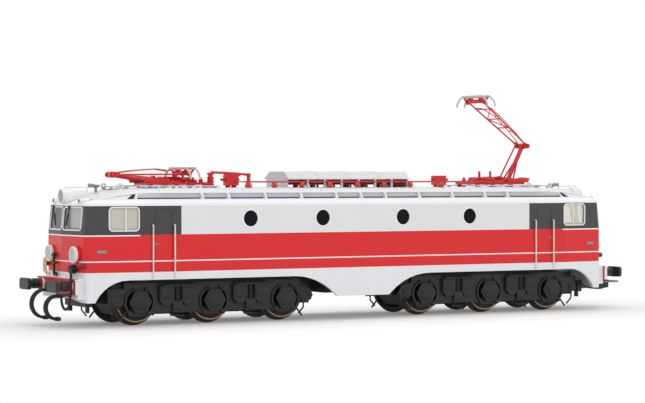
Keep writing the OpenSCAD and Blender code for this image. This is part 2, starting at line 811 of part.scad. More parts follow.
module hood_solid(in) {
    slab_x(in - hood_half_l, hood_half_l - in) polygon([
        [in - hood_half_w, hood_bottom - in], [hood_half_w - in, hood_bottom - in],
        [hood_top_half_w - in * 0.6, hood_top - in], [in * 0.6 - hood_top_half_w, hood_top - in]]);
}

// Hood on its posts, with a plate closing the space below each end
module resistor_hood() {
    color("lightgray") {
        difference() {
            hood_solid(0);
            hood_solid(hood_wall);
        }
        both_sides() for (x = post_xs)
            block([x - 0.35, hood_half_w - 0.62, deck_z], [x + 0.35, hood_half_w - 0.02, hood_bottom + 0.1]);
        both_ends() block([hood_half_l - 0.5, -bank_half_w, deck_z],
            [hood_half_l - 0.1, bank_half_w, hood_bottom + 0.1]);
    }
}

// Resistor frames standing in bays between the hood's posts
module resistor_bank() {
    low = deck_z + 0.9;
    high = hood_bottom - 0.15;
    color("maroon") for (bay = [-3:3]) {
        x = bay * post_step;
        block([x - 2.7, -bank_half_w, low], [x + 2.7, bank_half_w, low + 0.35]);
        block([x - 2.7, -bank_half_w, high - 0.35], [x + 2.7, bank_half_w, high]);
        for (i = [-3:3])
            block([x + i * 0.85 - 0.12, -bank_half_w, low], [x + i * 0.85 + 0.12, bank_half_w, high]);
        both_sides() block([x - 0.5, bank_half_w - 1.6, deck_z], [x + 0.5, bank_half_w - 0.4, low + 0.1]);
    }
}

module busbar() {
    color("firebrick") difference() {
        union() {
            along_x(bus_ends[0], bus_ends[1], bus_y, bus_z, bus_r);
            rod([bus_ends[0] + 1, bus_y, bus_z], [bus_ends[0] + 1, -box_half_w, bus_z], bus_r - 0.05);
            rod([bus_ends[1] - 1, bus_y, bus_z], [bus_ends[1] - 1, -6.4, bus_z], bus_r - 0.05);
        }
        for (x = insulator_xs) translate([x, bus_y, deck_z - 1]) cylinder(h = 10, r = 0.2);
    }
}

// Ribbed insulator standing on the deck, `h` tall
module insulator(h, r) {
    rotate_extrude() polygon([[0, 0], [r * 0.5, 0], [r * 0.5, h * 0.18], [r, h * 0.36], [r, h * 0.5],
        [r * 0.6, h * 0.6], [r * 0.66, h * 0.86], [r * 0.5, h], [0, h]]);
}

module busbar_insulators() {
    color("orangered") for (x = concat(insulator_xs, [insulator_xs[0] - 9.6, insulator_xs[5] + 12.5]))
        translate([x, bus_y, deck_z]) insulator(bus_z - deck_z - bus_r, 1.35);
}

module switch_boxes() {
    color("firebrick") for (s = [0, 1]) mirror([s, 0, 0]) {
        block([box_inner + 1.2, -box_half_w, deck_z + 0.7], [box_inner + 5.4, box_half_w, deck_z + 3.8]);
        for (x = [box_inner + 2.2, box_inner + 4.4]) both_sides()
            translate([x, 0.8, deck_z]) cylinder(h = 0.8, r = 0.5);
    }
}

// Two horns on a post at each nose
module horns() {
    x = ridge_x - 11.6;
    top = deck_z;
    color("silver") both_ends() {
        translate([x, 0, roof_z(x - 0.4) + 0.02]) cylinder(h = top - roof_z(x) + 0.2, r = 0.4);
        block([x - 0.4, -1.3, top], [x + 0.4, 1.3, top + 0.5]);
        for (y = [-0.9, 0.9]) translate([x - 1, y, top + 0.75]) rotate([0, 90, 0]) {
            cylinder(h = 1.4, r = 0.3);
            translate([0, 0, 1.4]) cylinder(h = 1.7, r1 = 0.3, r2 = 0.7);
        }
    }
}

// Walkway boards beside the pantographs and on the noses
module roof_walkways() {
    x0 = recess_end - 4.2;
    color("lightgray") {
        both_ends() both_sides() {
            block([panto_x - 20, 7.9, deck_z + 0.35], [panto_x + 8, 9.9, deck_z + 0.75]);
            for (i = [0:4])
                block([panto_x - 19 + i * 6.3, 8.3, deck_z], [panto_x - 18.4 + i * 6.3, 9.5, deck_z + 0.4]);
        }
        both_ends() {
            block([x0 + 1, -4, deck_z + 0.15], [x0 + 7.6, 4, deck_z + 0.5]);
            for (x = [x0 + 1.3, x0 + 6.6]) both_sides()
                block([x, 2.6, roof_z(x) + 0.02], [x + 0.7, 3.4, deck_z + 0.2]);
        }
    }
}

// Lifting eyes, and the wires from the lamps back over the noses
module roof_wires() {
    eye_x = recess_end + 1.2;
    wire_end = ridge_x - 8.6;
    color("silver") both_ends() {
        both_sides() translate([eye_x, 6.4, roof_z(eye_x) + 0.93]) rotate([90, 0, 0]) difference() {
            translate([0, 0, -0.25]) cylinder(h = 0.5, r = 0.95);
            translate([0, 0, -1]) cylinder(h = 2, r = 0.5);
        }
        wire([[ridge_x - 0.8, 0, roof_lamp_z + roof_lamp_r + 0.02],
            [ridge_x - 0.8, 0, roof_lamp_z + roof_lamp_r + 0.6],
            [wire_end, 0, roof_lamp_z + roof_lamp_r + 0.4], [wire_end, 0, roof_z(wire_end) + 0.16]],
            0.16, [0, 1, 0]);
    }
}

// ---------------------------------------------------------------- pantographs

// Places a pantograph piece: the front one is the rear one turned end for end
module at_front() {
    mirror([1, 0, 0]) children();
}

module arm_from(point, slope) {
    translate([point.x, 0, point.y]) rotate([0, slope, 0]) children();
}

module panto_base() {
    rail_z = deck_z + 0.9;
    front = panto_x - 18;
    back = panto_x + 3.2;
    union() {
        both_sides() {
            block([front, 5.2, rail_z], [back, 6, rail_z + 0.8]);
            for (x = [front + 1.5, panto_x - 2.4]) translate([x, 5.6, deck_z]) insulator(0.95, 1.3);
            // bearing of the lower arm
            difference() {
                slab_y(4.3, 5.3) polygon([[panto_x - 1.6, rail_z], [panto_x + 1.6, rail_z],
                    [panto_x + 0.9, panto_z + 0.9], [panto_x - 0.9, panto_z + 0.9]]);
                along_y(panto_x, 4, 6, panto_z, lift_pin_r + running_gap);
            }
        }
        for (x = [front, front + 7, panto_x - 5, back - 0.8])
            block([x, -5.4, rail_z], [x + 0.8, 5.4, rail_z + 0.8]);
        // air cylinder and its spring drums
        along_x(front + 7.4, panto_x - 4.6, 0, rail_z + 1, 1.05);
        both_sides() along_x(front + 7.6, panto_x - 4.8, 3.9, rail_z + 0.75, 0.6);
        // rest posts under the contact strips
        both_sides() translate([rest_x, rest_y, rail_z + 0.4]) cylinder(h = rest_z - rail_z - 0.4, r = 0.42);
        // bracket and pin of the thrust rod
        block([rod_base.x - 0.6, 2.5, rail_z], [rod_base.x + 0.6, 3.1, rod_base.y + 0.6]);
        block([rod_base.x - 0.6, 2.5, rail_z], [panto_x - 4.4, 3.1, rail_z + 0.6]);
        block([panto_x - 5, 2.5, rail_z], [rod_base.x + 0.6, 3.1, rail_z + 0.6]);
        along_y(rod_base.x, 1.5, 2.6, rod_base.y, 0.3);
    }
}

// Lower arm along +X from its pivot
module lower_arm() {
    along_y(0, -4, 4, 0, 0.7);
    along_y(0, -5.1, 5.1, 0, lift_pin_r);
    rod([0, 0, 0], [lower_arm_l, 0, 0], 0.75);
    both_sides() rod([0, 3.3, 0], [lower_arm_l * 0.72, 0, 0], 0.3);
    along_y(lower_arm_l, -1.25, 1.25, 0, 1);
    along_y(lower_arm_l, -3.6, 3.6, 0, lift_pin_r);
}

// Upper arm along -X from the knee: two tubes that spread towards the head, with braces
module upper_arm() {
    knee_y = 2.85;
    top_y = 4.5;
    both_sides() difference() {
        union() {
            along_y(0, 2.4, 3.3, 0, knee_r);
            rod([0, knee_y, 0], [-upper_arm_l, top_y, 0], 0.28);
            // lever towards the thrust rod
            slab_y(2.4, 2.9) polygon([[0.6, -0.7], [0.6, 0.7], [-rod_pin_reach, 0.5], [-rod_pin_reach, -0.5]]);
        }
        along_y(0, 2, 4, 0, lift_pin_r + running_gap);
    }
    along_y(-rod_pin_reach, 2.3, 2.9, 0, 0.5);
    spans = [0.42, 0.62, 0.84];
    for (s = spans)
        rod([-upper_arm_l * s, -knee_y - (top_y - knee_y) * s, 0],
            [-upper_arm_l * s, knee_y + (top_y - knee_y) * s, 0], 0.22);
    for (i = [0, 1]) mirror([0, i, 0])
        rod([-upper_arm_l * spans[i], -knee_y - (top_y - knee_y) * spans[i], 0],
            [-upper_arm_l * spans[i + 1], knee_y + (top_y - knee_y) * spans[i + 1], 0], 0.19);
    along_y(-upper_arm_l, -head_pin_half, head_pin_half, 0, 0.4);
}

// Head with two carbon strips and down-turned horns, its pin at the origin
module panto_head() {
    flat = head_half - 3.4;
    for (s = [-1, 1]) {
        x = s * strip_gap;
        wire([[x, -head_half + 0.3, strip_up - 3.4], [x, -head_half + 0.9, strip_up - 1.7],
            [x, -flat, strip_up], [x, flat, strip_up],
            [x, head_half - 0.9, strip_up - 1.7], [x, head_half - 0.3, strip_up - 3.4]],
            strip_r - 0.12, [1, 0, 0], 0.8);
        block([x - strip_r, -flat + 0.6, strip_up - 0.35], [x + strip_r, flat - 0.6, strip_up + strip_r]);
    }
    both_sides() difference() {
        union() {
            along_y(0, 4.9, 5.5, 0, 0.8);
            slab_y(4.9, 5.5) polygon([[-0.6, 0], [0.6, 0], [strip_gap + 0.3, strip_up - 0.1],
                [-strip_gap - 0.3, strip_up - 0.1]]);
        }
        along_y(0, 4, 6, 0, 0.4 + running_gap);
        slab_y(4, 6) polygon([[-0.7, 0.95], [0.7, 0.95], [1, strip_up - 0.5], [-1, strip_up - 0.5]]);
    }
}

// Thrust rod along +X from its lower pin; its upper eye lies beside the upper arm's lever
module thrust_rod() {
    difference() {
        union() {
            along_y(0, 1.6, 2.2, 0, 0.62);
            rod([0, 1.9, 0], [rod_l, 1.9, 0], 0.28);
        }
        along_y(0, 1, 3, 0, 0.3 + running_gap);
    }
    along_y(rod_l, 1.6, 2.2, 0, 0.5);
}

module front_panto_base() {
    color("firebrick") at_front() panto_base();
}

module front_panto_lower_arm() {
    color("crimson") at_front() arm_from([panto_x, panto_z], -folded_lower) lower_arm();
}

module front_panto_upper_arm() {
    color("crimson") at_front() arm_from(knee_at(folded_lower), folded_upper) upper_arm();
}

module front_panto_head() {
    color("crimson") at_front() arm_from(folded_head, 0) panto_head();
}

module front_panto_thrust_rod() {
    color("crimson") at_front() arm_from(rod_base, -slope_of(folded_pin - rod_base)) thrust_rod();
}

module rear_panto_base() {
    color("firebrick") panto_base();
}

module rear_panto_lower_arm() {
    color("crimson") arm_from([panto_x, panto_z], -raised_lower) lower_arm();
}

module rear_panto_upper_arm() {
    color("crimson") arm_from(knee_at(raised_lower), raised_upper) upper_arm();
}

module rear_panto_head() {
    color("crimson") arm_from(along_upper(raised_lower, raised_upper, upper_arm_l), 0) panto_head();
}

module rear_panto_thrust_rod() {
    color("crimson") arm_from(rod_base, -slope_of(raised_pin - rod_base)) thrust_rod();
}

// ---------------------------------------------------------------- bogies

// Gearbox with the axle bores, cross beams and outer headstock; pivot at the origin
module bogie_frame() {
    difference() {
        union() {
            slab_y(-gearbox_half, gearbox_half) polygon([
                [-gearbox_end + 3, gearbox_bottom], [gearbox_end - 3, gearbox_bottom],
                [gearbox_end, gearbox_bottom + 4], [gearbox_end, 11.5], [gearbox_end - 3, gearbox_top - 1],
                [8, gearbox_top], [-8, gearbox_top], [-gearbox_end + 3, gearbox_top - 1],
                [-gearbox_end, 11.5], [-gearbox_end, gearbox_bottom + 4]]);
            for (dx = [-axle_pitch / 2, axle_pitch / 2])
                block([dx - 1.8, -side_frame_y, 9], [dx + 1.8, side_frame_y, 12]);
            for (dx = [-gearbox_end - 2.8, gearbox_end + 0.7])
                block([dx, -headstock_half, 7], [dx + 2.1, headstock_half, 10.5]);
            // outer headstock with its hanging post
            block([-gearbox_end - 1, -3, 7], [headstock_x - 1, 3, 9.6]);
            block([headstock_x - 2, -headstock_half, 6.2], [headstock_x, headstock_half, 10.2]);
            both_sides() block([headstock_x - 1.6, 6.2, 4.3], [headstock_x - 0.6, 7.4, 6.3]);
        }
        for (dx = axle_dx) along_y(dx, -gearbox_half - 1, gearbox_half + 1, axle_z, axle_r + running_gap);
        translate([0, 0, gearbox_top - 4.3]) cylinder(h = 10, r = kingpin_r + running_gap);
    }
}

module side_frame_outline() {
    e = axle_pitch + 5.4;
    difference() {
        polygon([
            [-e, side_frame_top - 0.6], [-e + 3, side_frame_top], [e - 3, side_frame_top],
            [e, side_frame_top - 0.6], [e, 8.4], [e - 1.6, 7], [e - 1.6, 4.6],
            [axle_pitch + 2.8, 3], [axle_pitch - 2.8, 3], [axle_pitch - 5.5, 4], [5.5, 4], [2.8, 3],
            [-2.8, 3], [-5.5, 4], [5.5 - axle_pitch, 4], [2.8 - axle_pitch, 3],
            [-2.8 - axle_pitch, 3], [1.6 - e, 4.6], [1.6 - e, 7], [-e, 8.4]]);
        for (dx = axle_dx) for (s = [-1, 1]) translate([dx, 0]) mirror([s > 0 ? 0 : 1, 0])
            polygon([[2.9, 5], [4.2, 5], [5.2, 7.4], [4.4, 9.6], [2.4, 10.6], [1.9, 10], [3.2, 7.6]]);
    }
}

// Coil spring seen between two boxes: a core with raised turns
module coil_spring(x, y, z0, z1, r) {
    turns = 5;
    pitch = (z1 - z0) / turns;
    translate([x, y, z0]) {
        cylinder(h = z1 - z0, r = r * 0.75);
        for (i = [0:turns - 1]) translate([0, 0, (i + 0.25) * pitch]) cylinder(h = pitch * 0.5, r = r);
    }
}

// Side frames with axlebox covers, spring boxes, brake gear and guard irons
module bogie_sides() {
    outer = side_frame_y + side_frame_t;
    both_sides() {
        difference() {
            slab_y(side_frame_y, outer) side_frame_outline();
            for (s = [-1, 1]) block([s * axle_pitch / 2 - 1.1, outer - 0.5, 7.4],
                [s * axle_pitch / 2 + 1.1, outer + 1, 12.2]);
        }
        for (dx = axle_dx) {
            translate([dx, outer + 1.2, 7.6]) rotate([90, 0, 0]) {
                cylinder(h = 1.3, r = 3.9, $fn = 6);
                translate([0, 0, -0.3]) cylinder(h = 0.4, r = 1.5);
            }
        }
        for (s = [-1, 1]) {
            mid = s * axle_pitch / 2;
            for (dx = [mid - 3.9, mid + 3.9]) {
                slab_y(outer - 0.1, outer + 1.1) polygon([
                    [dx - 2.6, 12.4], [dx + 2.6, 12.4], [dx + 2.6, 8], [dx + 1.2, 6.3],
                    [dx - 1.2, 6.3], [dx - 2.6, 8]]);
            }
            coil_spring(mid, outer + 0.25, 7.6, 12.2, 0.95);
            block([mid - 1.7, outer - 0.1, 5.2], [mid + 1.7, outer + 0.9, 7.7]);
            block([mid - 5.4, outer - 0.1, 12.3], [mid + 5.4, outer + 1.3, 12.8]);
            rod([mid - 3.4, outer - 0.7, 4.1], [mid + 3.2, outer - 0.7, 1.6], 0.22);
        }
        for (s = [-1, 1]) {
            tip = s * (axle_pitch + 5.2);
            rod([tip - s * 1.4, outer - 0.7, 5], [tip + s * 1.4, outer - 0.7, 1.6], 0.3);
            slab_y(side_frame_y, outer) translate([tip, 0]) mirror([s > 0 ? 0 : 1, 0])
                polygon([[-0.5, 11.4], [4.2, 10.4], [5.2, 8.2], [4.4, 6.6], [1.4, 6.2], [-0.5, 7.2]]);
        }
    }
}

module front_bogie_frame() {
    color("black") translate([-pivot_x, 0, 0]) mirror([1, 0, 0]) bogie_frame();
}

module front_bogie_sides() {
    color("black") translate([-pivot_x, 0, 0]) bogie_sides();
}

module rear_bogie_frame() {
    color("black") translate([pivot_x, 0, 0]) bogie_frame();
}

module rear_bogie_sides() {
    color("black") translate([pivot_x, 0, 0]) bogie_sides();
}

// ---------------------------------------------------------------- wheels

// Axles are numbered from the front
function axle_at(number) = (number <= 3 ? -pivot_x : pivot_x) + axle_dx[(number - 1) % 3];

// Axle with its two dished wheel centres
module wheel_centres() {
    rotate([90, 0, 0]) {
        cylinder(h = 2 * wheel_out - 1.2, r = axle_r, center = true);
        for (s = [0, 1]) mirror([0, 0, s]) rotate_extrude() polygon([
            [0, wheel_in - 0.5], [2.2, wheel_in - 0.5], [2.2, wheel_in + 0.3], [5, wheel_in + 0.6],
            [rim_r, wheel_in + 0.1], [rim_r, wheel_out - 0.4], [5.2, wheel_out - 0.4],
            [4.9, wheel_out - 1.3], [2.4, wheel_out - 1.3], [2.1, wheel_out - 0.4], [0, wheel_out - 0.4]]);
    }
}

// Two tyres with flanges on the inside
module wheel_tyres() {
    rotate([90, 0, 0]) for (s = [0, 1]) mirror([0, 0, s]) rotate_extrude() polygon([
        [rim_r, wheel_in], [flange_r - 0.3, wheel_in], [flange_r, wheel_in + 0.25],
        [flange_r - 0.15, wheel_in + 0.6], [tread_r + 0.1, wheel_in + 0.95],
        [tread_r, wheel_in + 1.2], [tread_r - 0.05, wheel_out], [rim_r, wheel_out]]);
}

module wheelset(number) {
    color("black") translate([axle_at(number), 0, axle_z]) wheel_centres();
}

module tyres(number) {
    color("darkgoldenrod") translate([axle_at(number), 0, axle_z]) wheel_tyres();
}

// ---------------------------------------------------------------- all nodes

body_shell();
roof_shell();
chassis_frame();
motor_block();
front_cab_interior();
rear_cab_interior();
windscreens();
side_windows();
porthole_glass();
window_frames();
bufferbeams();
buffers();
lower_headlights();
lamp_lenses();
marker_lamps();
roof_lamps();
wipers();
cab_handrails();
front_air_hoses();
front_jumper_cable();
front_jumper_socket();
front_bow_rail();
front_lamp_bracket();
draw_hooks();
resistor_hood();
resistor_bank();
busbar();
busbar_insulators();
switch_boxes();
horns();
roof_walkways();
roof_wires();
rear_coupler();
rear_coupler_loop();
front_panto_base();
front_panto_lower_arm();
front_panto_upper_arm();
front_panto_head();
front_panto_thrust_rod();
rear_panto_base();
rear_panto_lower_arm();
rear_panto_upper_arm();
rear_panto_head();
rear_panto_thrust_rod();
front_bogie_frame();
front_bogie_sides();
rear_bogie_frame();
rear_bogie_sides();
wheelset(1);  // wheelset_1
wheelset(2);  // wheelset_2
wheelset(3);  // wheelset_3
wheelset(4);  // wheelset_4
wheelset(5);  // wheelset_5
wheelset(6);  // wheelset_6
tyres(1);  // tyres_1
tyres(2);  // tyres_2
tyres(3);  // tyres_3
tyres(4);  // tyres_4
tyres(5);  // tyres_5
tyres(6);  // tyres_6
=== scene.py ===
import math

import bmesh
import bpy
from mathutils import Matrix, Vector


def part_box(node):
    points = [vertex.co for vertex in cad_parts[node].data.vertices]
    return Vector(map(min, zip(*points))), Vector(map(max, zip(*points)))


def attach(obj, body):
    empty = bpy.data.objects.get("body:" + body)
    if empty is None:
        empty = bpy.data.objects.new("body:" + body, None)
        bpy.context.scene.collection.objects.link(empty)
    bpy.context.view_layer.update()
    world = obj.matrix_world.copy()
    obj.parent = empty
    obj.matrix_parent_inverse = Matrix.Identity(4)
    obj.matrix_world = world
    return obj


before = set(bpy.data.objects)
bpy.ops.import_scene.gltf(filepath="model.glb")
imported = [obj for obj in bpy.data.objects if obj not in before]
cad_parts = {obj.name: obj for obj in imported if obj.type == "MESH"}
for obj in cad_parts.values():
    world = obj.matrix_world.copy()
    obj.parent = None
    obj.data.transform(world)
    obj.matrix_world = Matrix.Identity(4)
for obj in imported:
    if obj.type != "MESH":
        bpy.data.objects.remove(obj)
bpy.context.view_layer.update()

# ---------------------------------------------------------------- body shell
# A thin moulding of coloured plastic, open below and closed above by the roof.
# It is sprayed in bands: silver-white skirt, red sides, pale grey panels and dark
# grey cabs, and the fine white lines are printed over the paint.

MM = 0.001


class Number:
    """A value that a finish works out at each point of its surface."""

    def __init__(self, finish, socket):
        self.finish = finish
        self.socket = socket

    def maths(self, operation, *values):
        return self.finish.node("ShaderNodeMath", {"operation": operation}, dict(enumerate(values)))

    def __add__(self, other):
        return self.maths("ADD", self, other)

    __radd__ = __add__

    def __sub__(self, other):
        return self.maths("SUBTRACT", self, other)

    def __rsub__(self, other):
        return self.maths("SUBTRACT", other, self)

    def __mul__(self, other):
        return self.maths("MULTIPLY", self, other)

    __rmul__ = __mul__

    def __truediv__(self, other):
        return self.maths("DIVIDE", self, other)

    def __pow__(self, other):
        return self.maths("POWER", self, other)

    def __mod__(self, other):
        return self.maths("FLOORED_MODULO", self, other)

    def __gt__(self, other):
        return self.maths("GREATER_THAN", self, other)

    def __lt__(self, other):
        return self.maths("LESS_THAN", self, other)

    def __abs__(self):
        return self.maths("ABSOLUTE", self)

    def within(self, low, high):
        return (self > low) * (self < high)

    def at_least(self, other):
        return self.maths("MAXIMUM", self, other)

    def at_most(self, other):
        return self.maths("MINIMUM", self, other)


class Finish:
    """One material: a Principled shader and the nodes that vary it over a surface."""

    def __init__(self, name, plain=None):
        self.material = bpy.data.materials.new(name)
        self.material.use_nodes = True
        self.shader = self.material.node_tree.nodes["Principled BSDF"]
        self.set(plain or {})

    def node(self, kind, settings=None, sockets=None, output=0):
        made = self.material.node_tree.nodes.new(kind)
        for setting, value in (settings or {}).items():
            setattr(made, setting, value)
        self.fill(made, sockets or {})
        return Number(self, made.outputs[output])

    def fill(self, made, sockets):
        for socket, value in sockets.items():
            if isinstance(value, Number):
                self.material.node_tree.links.new(value.socket, made.inputs[socket])
            else:
                made.inputs[socket].default_value = value

    def set(self, sockets):
        self.fill(self.shader, sockets)

    def parts(self, vector):
        """The X, Y and Z parts of a vector."""
        return [self.node("ShaderNodeSeparateXYZ", {}, {"Vector": vector}, output=axis) for axis in range(3)]

    def place(self):
        """The point's X, Y and Z in millimetres."""
        return [part / MM for part in self.parts(self.node("ShaderNodeTexCoord", output="Object"))]

    def facing(self):
        """The three parts of the surface's own direction."""
        return self.parts(self.node("ShaderNodeNewGeometry", output="True Normal"))

    def noise(self, size_mm, detail=2.0):
        """Cloudy variation from 0 to 1, whose patches are about size_mm across."""
        point = self.node("ShaderNodeTexCoord", output="Object")
        return self.node("ShaderNodeTexNoise", {}, {
            "Vector": point, "Scale": 1 / (size_mm * MM), "Detail": detail, "Roughness": 0.55})

    def coat(self, below, mask, above):
        """Colour `above` wherever the mask is 1, over colour `below`."""
        return self.node("ShaderNodeMix", {"data_type": "RGBA"}, {0: mask, 6: below, 7: above}, output=2)

    def shade(self, colour, amount, size_mm):
        """The colour, lighter and darker by `amount` from one patch to the next."""
        light = 1 + (self.noise(size_mm) - 0.5) * amount
        grey = self.node("ShaderNodeCombineXYZ", {}, {0: light, 1: light, 2: light})
        return self.node("ShaderNodeMix", {"data_type": "RGBA", "blend_type": "MULTIPLY"},
                         {0: 1.0, 6: colour, 7: grey}, output=2)

    def gloss(self, least, spread, size_mm):
        """Roughness from `least` upwards, changing from one patch to the next."""
        self.set({"Roughness": least + self.noise(size_mm) * spread})

    def bump(self, height, depth_mm):
        self.set({"Normal": self.node("ShaderNodeBump", {}, {
            "Strength": 1.0, "Distance": depth_mm * MM, "Height": height})})

    def grain(self, size_mm, depth_mm, detail=2.0):
        """Fine unevenness of a sprayed, moulded or cast skin."""
        self.bump(self.noise(size_mm, detail), depth_mm)


def dress(finish, *nodes):
    """Gives CAD nodes their finish."""
    for name in nodes:
        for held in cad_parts[name].material_slots:
            held.material = finish.material


def srgb(red, green, blue):
    """A colour given as on a paint card, from 0 to 255, as the light that it reflects."""
    parts = [value / 255 for value in (red, green, blue)]
    return [p / 12.92 if p <= 0.04045 else ((p + 0.055) / 1.055) ** 2.4 for p in parts] + [1.0]


RED = srgb(226, 26, 32)
SILVER_WHITE = srgb(238, 241, 244)
PALE_GREY = srgb(233, 236, 236)
DARK_GREY = srgb(60, 60, 61)
LINE_WHITE = srgb(250, 250, 250)

half_width = -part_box("body_shell")[0].y / MM
skirt_top = 17.15
waist = 28.8
stripe_z = 20.55
stripe_half = 0.19
waist_line = 0.4
dark_from = 66.8
# the sides taper towards the ends, and each face is swept back and leans
taper_x = 82.03
taper_angle = math.radians(6.01)
side_taper = math.tan(taper_angle)
ridge_x = 100.2
face_sweep = math.tan(math.radians(5.05))
face_lean = math.tan(math.radians(5.68))
skin_depth = 0.75
porthole_xs = (15.4, 42.1)
porthole_z = 33.6
porthole_ring = 2.96

livery = Finish("painted_body_shell")
x, y, z = livery.place()
along, across = abs(x), abs(y)
colour = livery.coat(RED, z < skirt_top, SILVER_WHITE)
colour = livery.coat(colour, z.within(stripe_z - stripe_half, stripe_z + stripe_half), LINE_WHITE)
colour = livery.coat(colour, z > waist, PALE_GREY)
colour = livery.coat(colour, (z > waist) * (along > dark_from), DARK_GREY)
colour = livery.coat(colour, z.within(waist - waist_line, waist) * (along > taper_x - 1), LINE_WHITE)
for porthole_x in porthole_xs:
    from_centre = (along - porthole_x) ** 2 + (z - porthole_z) ** 2
    colour = livery.coat(colour, from_centre < porthole_ring ** 2, LINE_WHITE)
# bare plastic inside the walls, ivory in the cabs
lean = ((z - waist) * face_lean).at_least(0)
behind_face = ridge_x - across * face_sweep - lean - along
behind_side = half_width - across - ((along - taper_x) * side_taper).at_least(0)
inside = (behind_face > skin_depth) * (behind_side > skin_depth) * (z > skirt_top - 1.15)
colour = livery.coat(colour, inside, srgb(96, 94, 90))
colour = livery.coat(colour, inside * (along > dark_from), srgb(248, 247, 242))
livery.set({"Base Color": livery.shade(colour, 0.05, 14)})
livery.gloss(0.36, 0.1, 5)
livery.grain(0.35, 0.012, detail=1.0)
dress(livery, "body_shell")

# ---------------------------------------------------------------- roof shell
# One moulding in silver-white, clipped into the walls' top edge, with a painted
# highlight along its cornice. A recess with white posts runs along both shoulders;
# its back and the posts' sides facing the ends are painted in shade, nearly black
# in a band at its foot and in a corner behind each end strut.

cornice_top = 39.6
recess_y = 14.45
recess_foot = 39.95
recess_top = 41.9
recess_end = 81.9
slot_height = 0.42
seam_pitch = 29.2
ROOF_WHITE = srgb(232, 234, 237)
CORNICE_HIGHLIGHT_WHITE = srgb(252, 253, 253)
RECESS_PAINTED_SHADE = srgb(206, 209, 214)
SLOT_PAINTED_SHADE = srgb(64, 64, 67)
POST_SHADE = srgb(120, 122, 118)
SEAM_GREY = srgb(150, 152, 156)

roof = Finish("painted_roof")
x, y, z = roof.place()
along, across = abs(x), abs(y)
faces_x = roof.facing()[0]
at_back = across.within(recess_y - 0.06, recess_y + 0.06)
# painted highlight: the cornice is painted a lighter white than the rest of the roof, where it catches the
# lamps
colour = roof.coat(ROOF_WHITE, z < cornice_top, CORNICE_HIGHLIGHT_WHITE)
# painted shade over the back of the recess
colour = roof.coat(colour, at_back * z.within(recess_foot, recess_top), RECESS_PAINTED_SHADE)
# a darker painted shade, nearly black, in a band at the foot of the recess
slot_shade_mask = at_back * z.within(recess_foot - 0.1, recess_foot + slot_height) * (along < recess_end + 2.1)
colour = roof.coat(colour, slot_shade_mask, SLOT_PAINTED_SHADE)
# the slanting strut at each end of the recess gets a painted shadow, nearly black, in the corner behind it
beyond_strut = along > recess_end + 0.55 - (z - recess_foot) * 0.7
corner_shadow = at_back * beyond_strut * z.within(recess_foot - 0.1, recess_top + 0.1)
colour = roof.coat(colour, corner_shadow, srgb(24, 24, 26))
on_post = (across > recess_y - 0.05) * z.within(recess_foot, recess_top) * (along < recess_end - 1.9)
# painted shade on the posts' sides that face the ends
colour = roof.coat(colour, on_post * (faces_x > 0.7), POST_SHADE)
seams = abs((along % seam_pitch) - seam_pitch / 2) < 0.09
colour = roof.coat(colour, seams * (z > recess_top + 0.3), SEAM_GREY)
roof.set({"Base Color": roof.shade(colour, 0.05, 12)})
roof.gloss(0.38, 0.12, 4)
roof.grain(0.35, 0.012, detail=1.0)
dress(roof, "roof_shell")

# ---------------------------------------------------------------- roof rivets and hatch strips
# The deck is made as three lift-off covers. Flat strips seal their joints, and
# rows of small rivet heads hold the strips and the covers' edges.


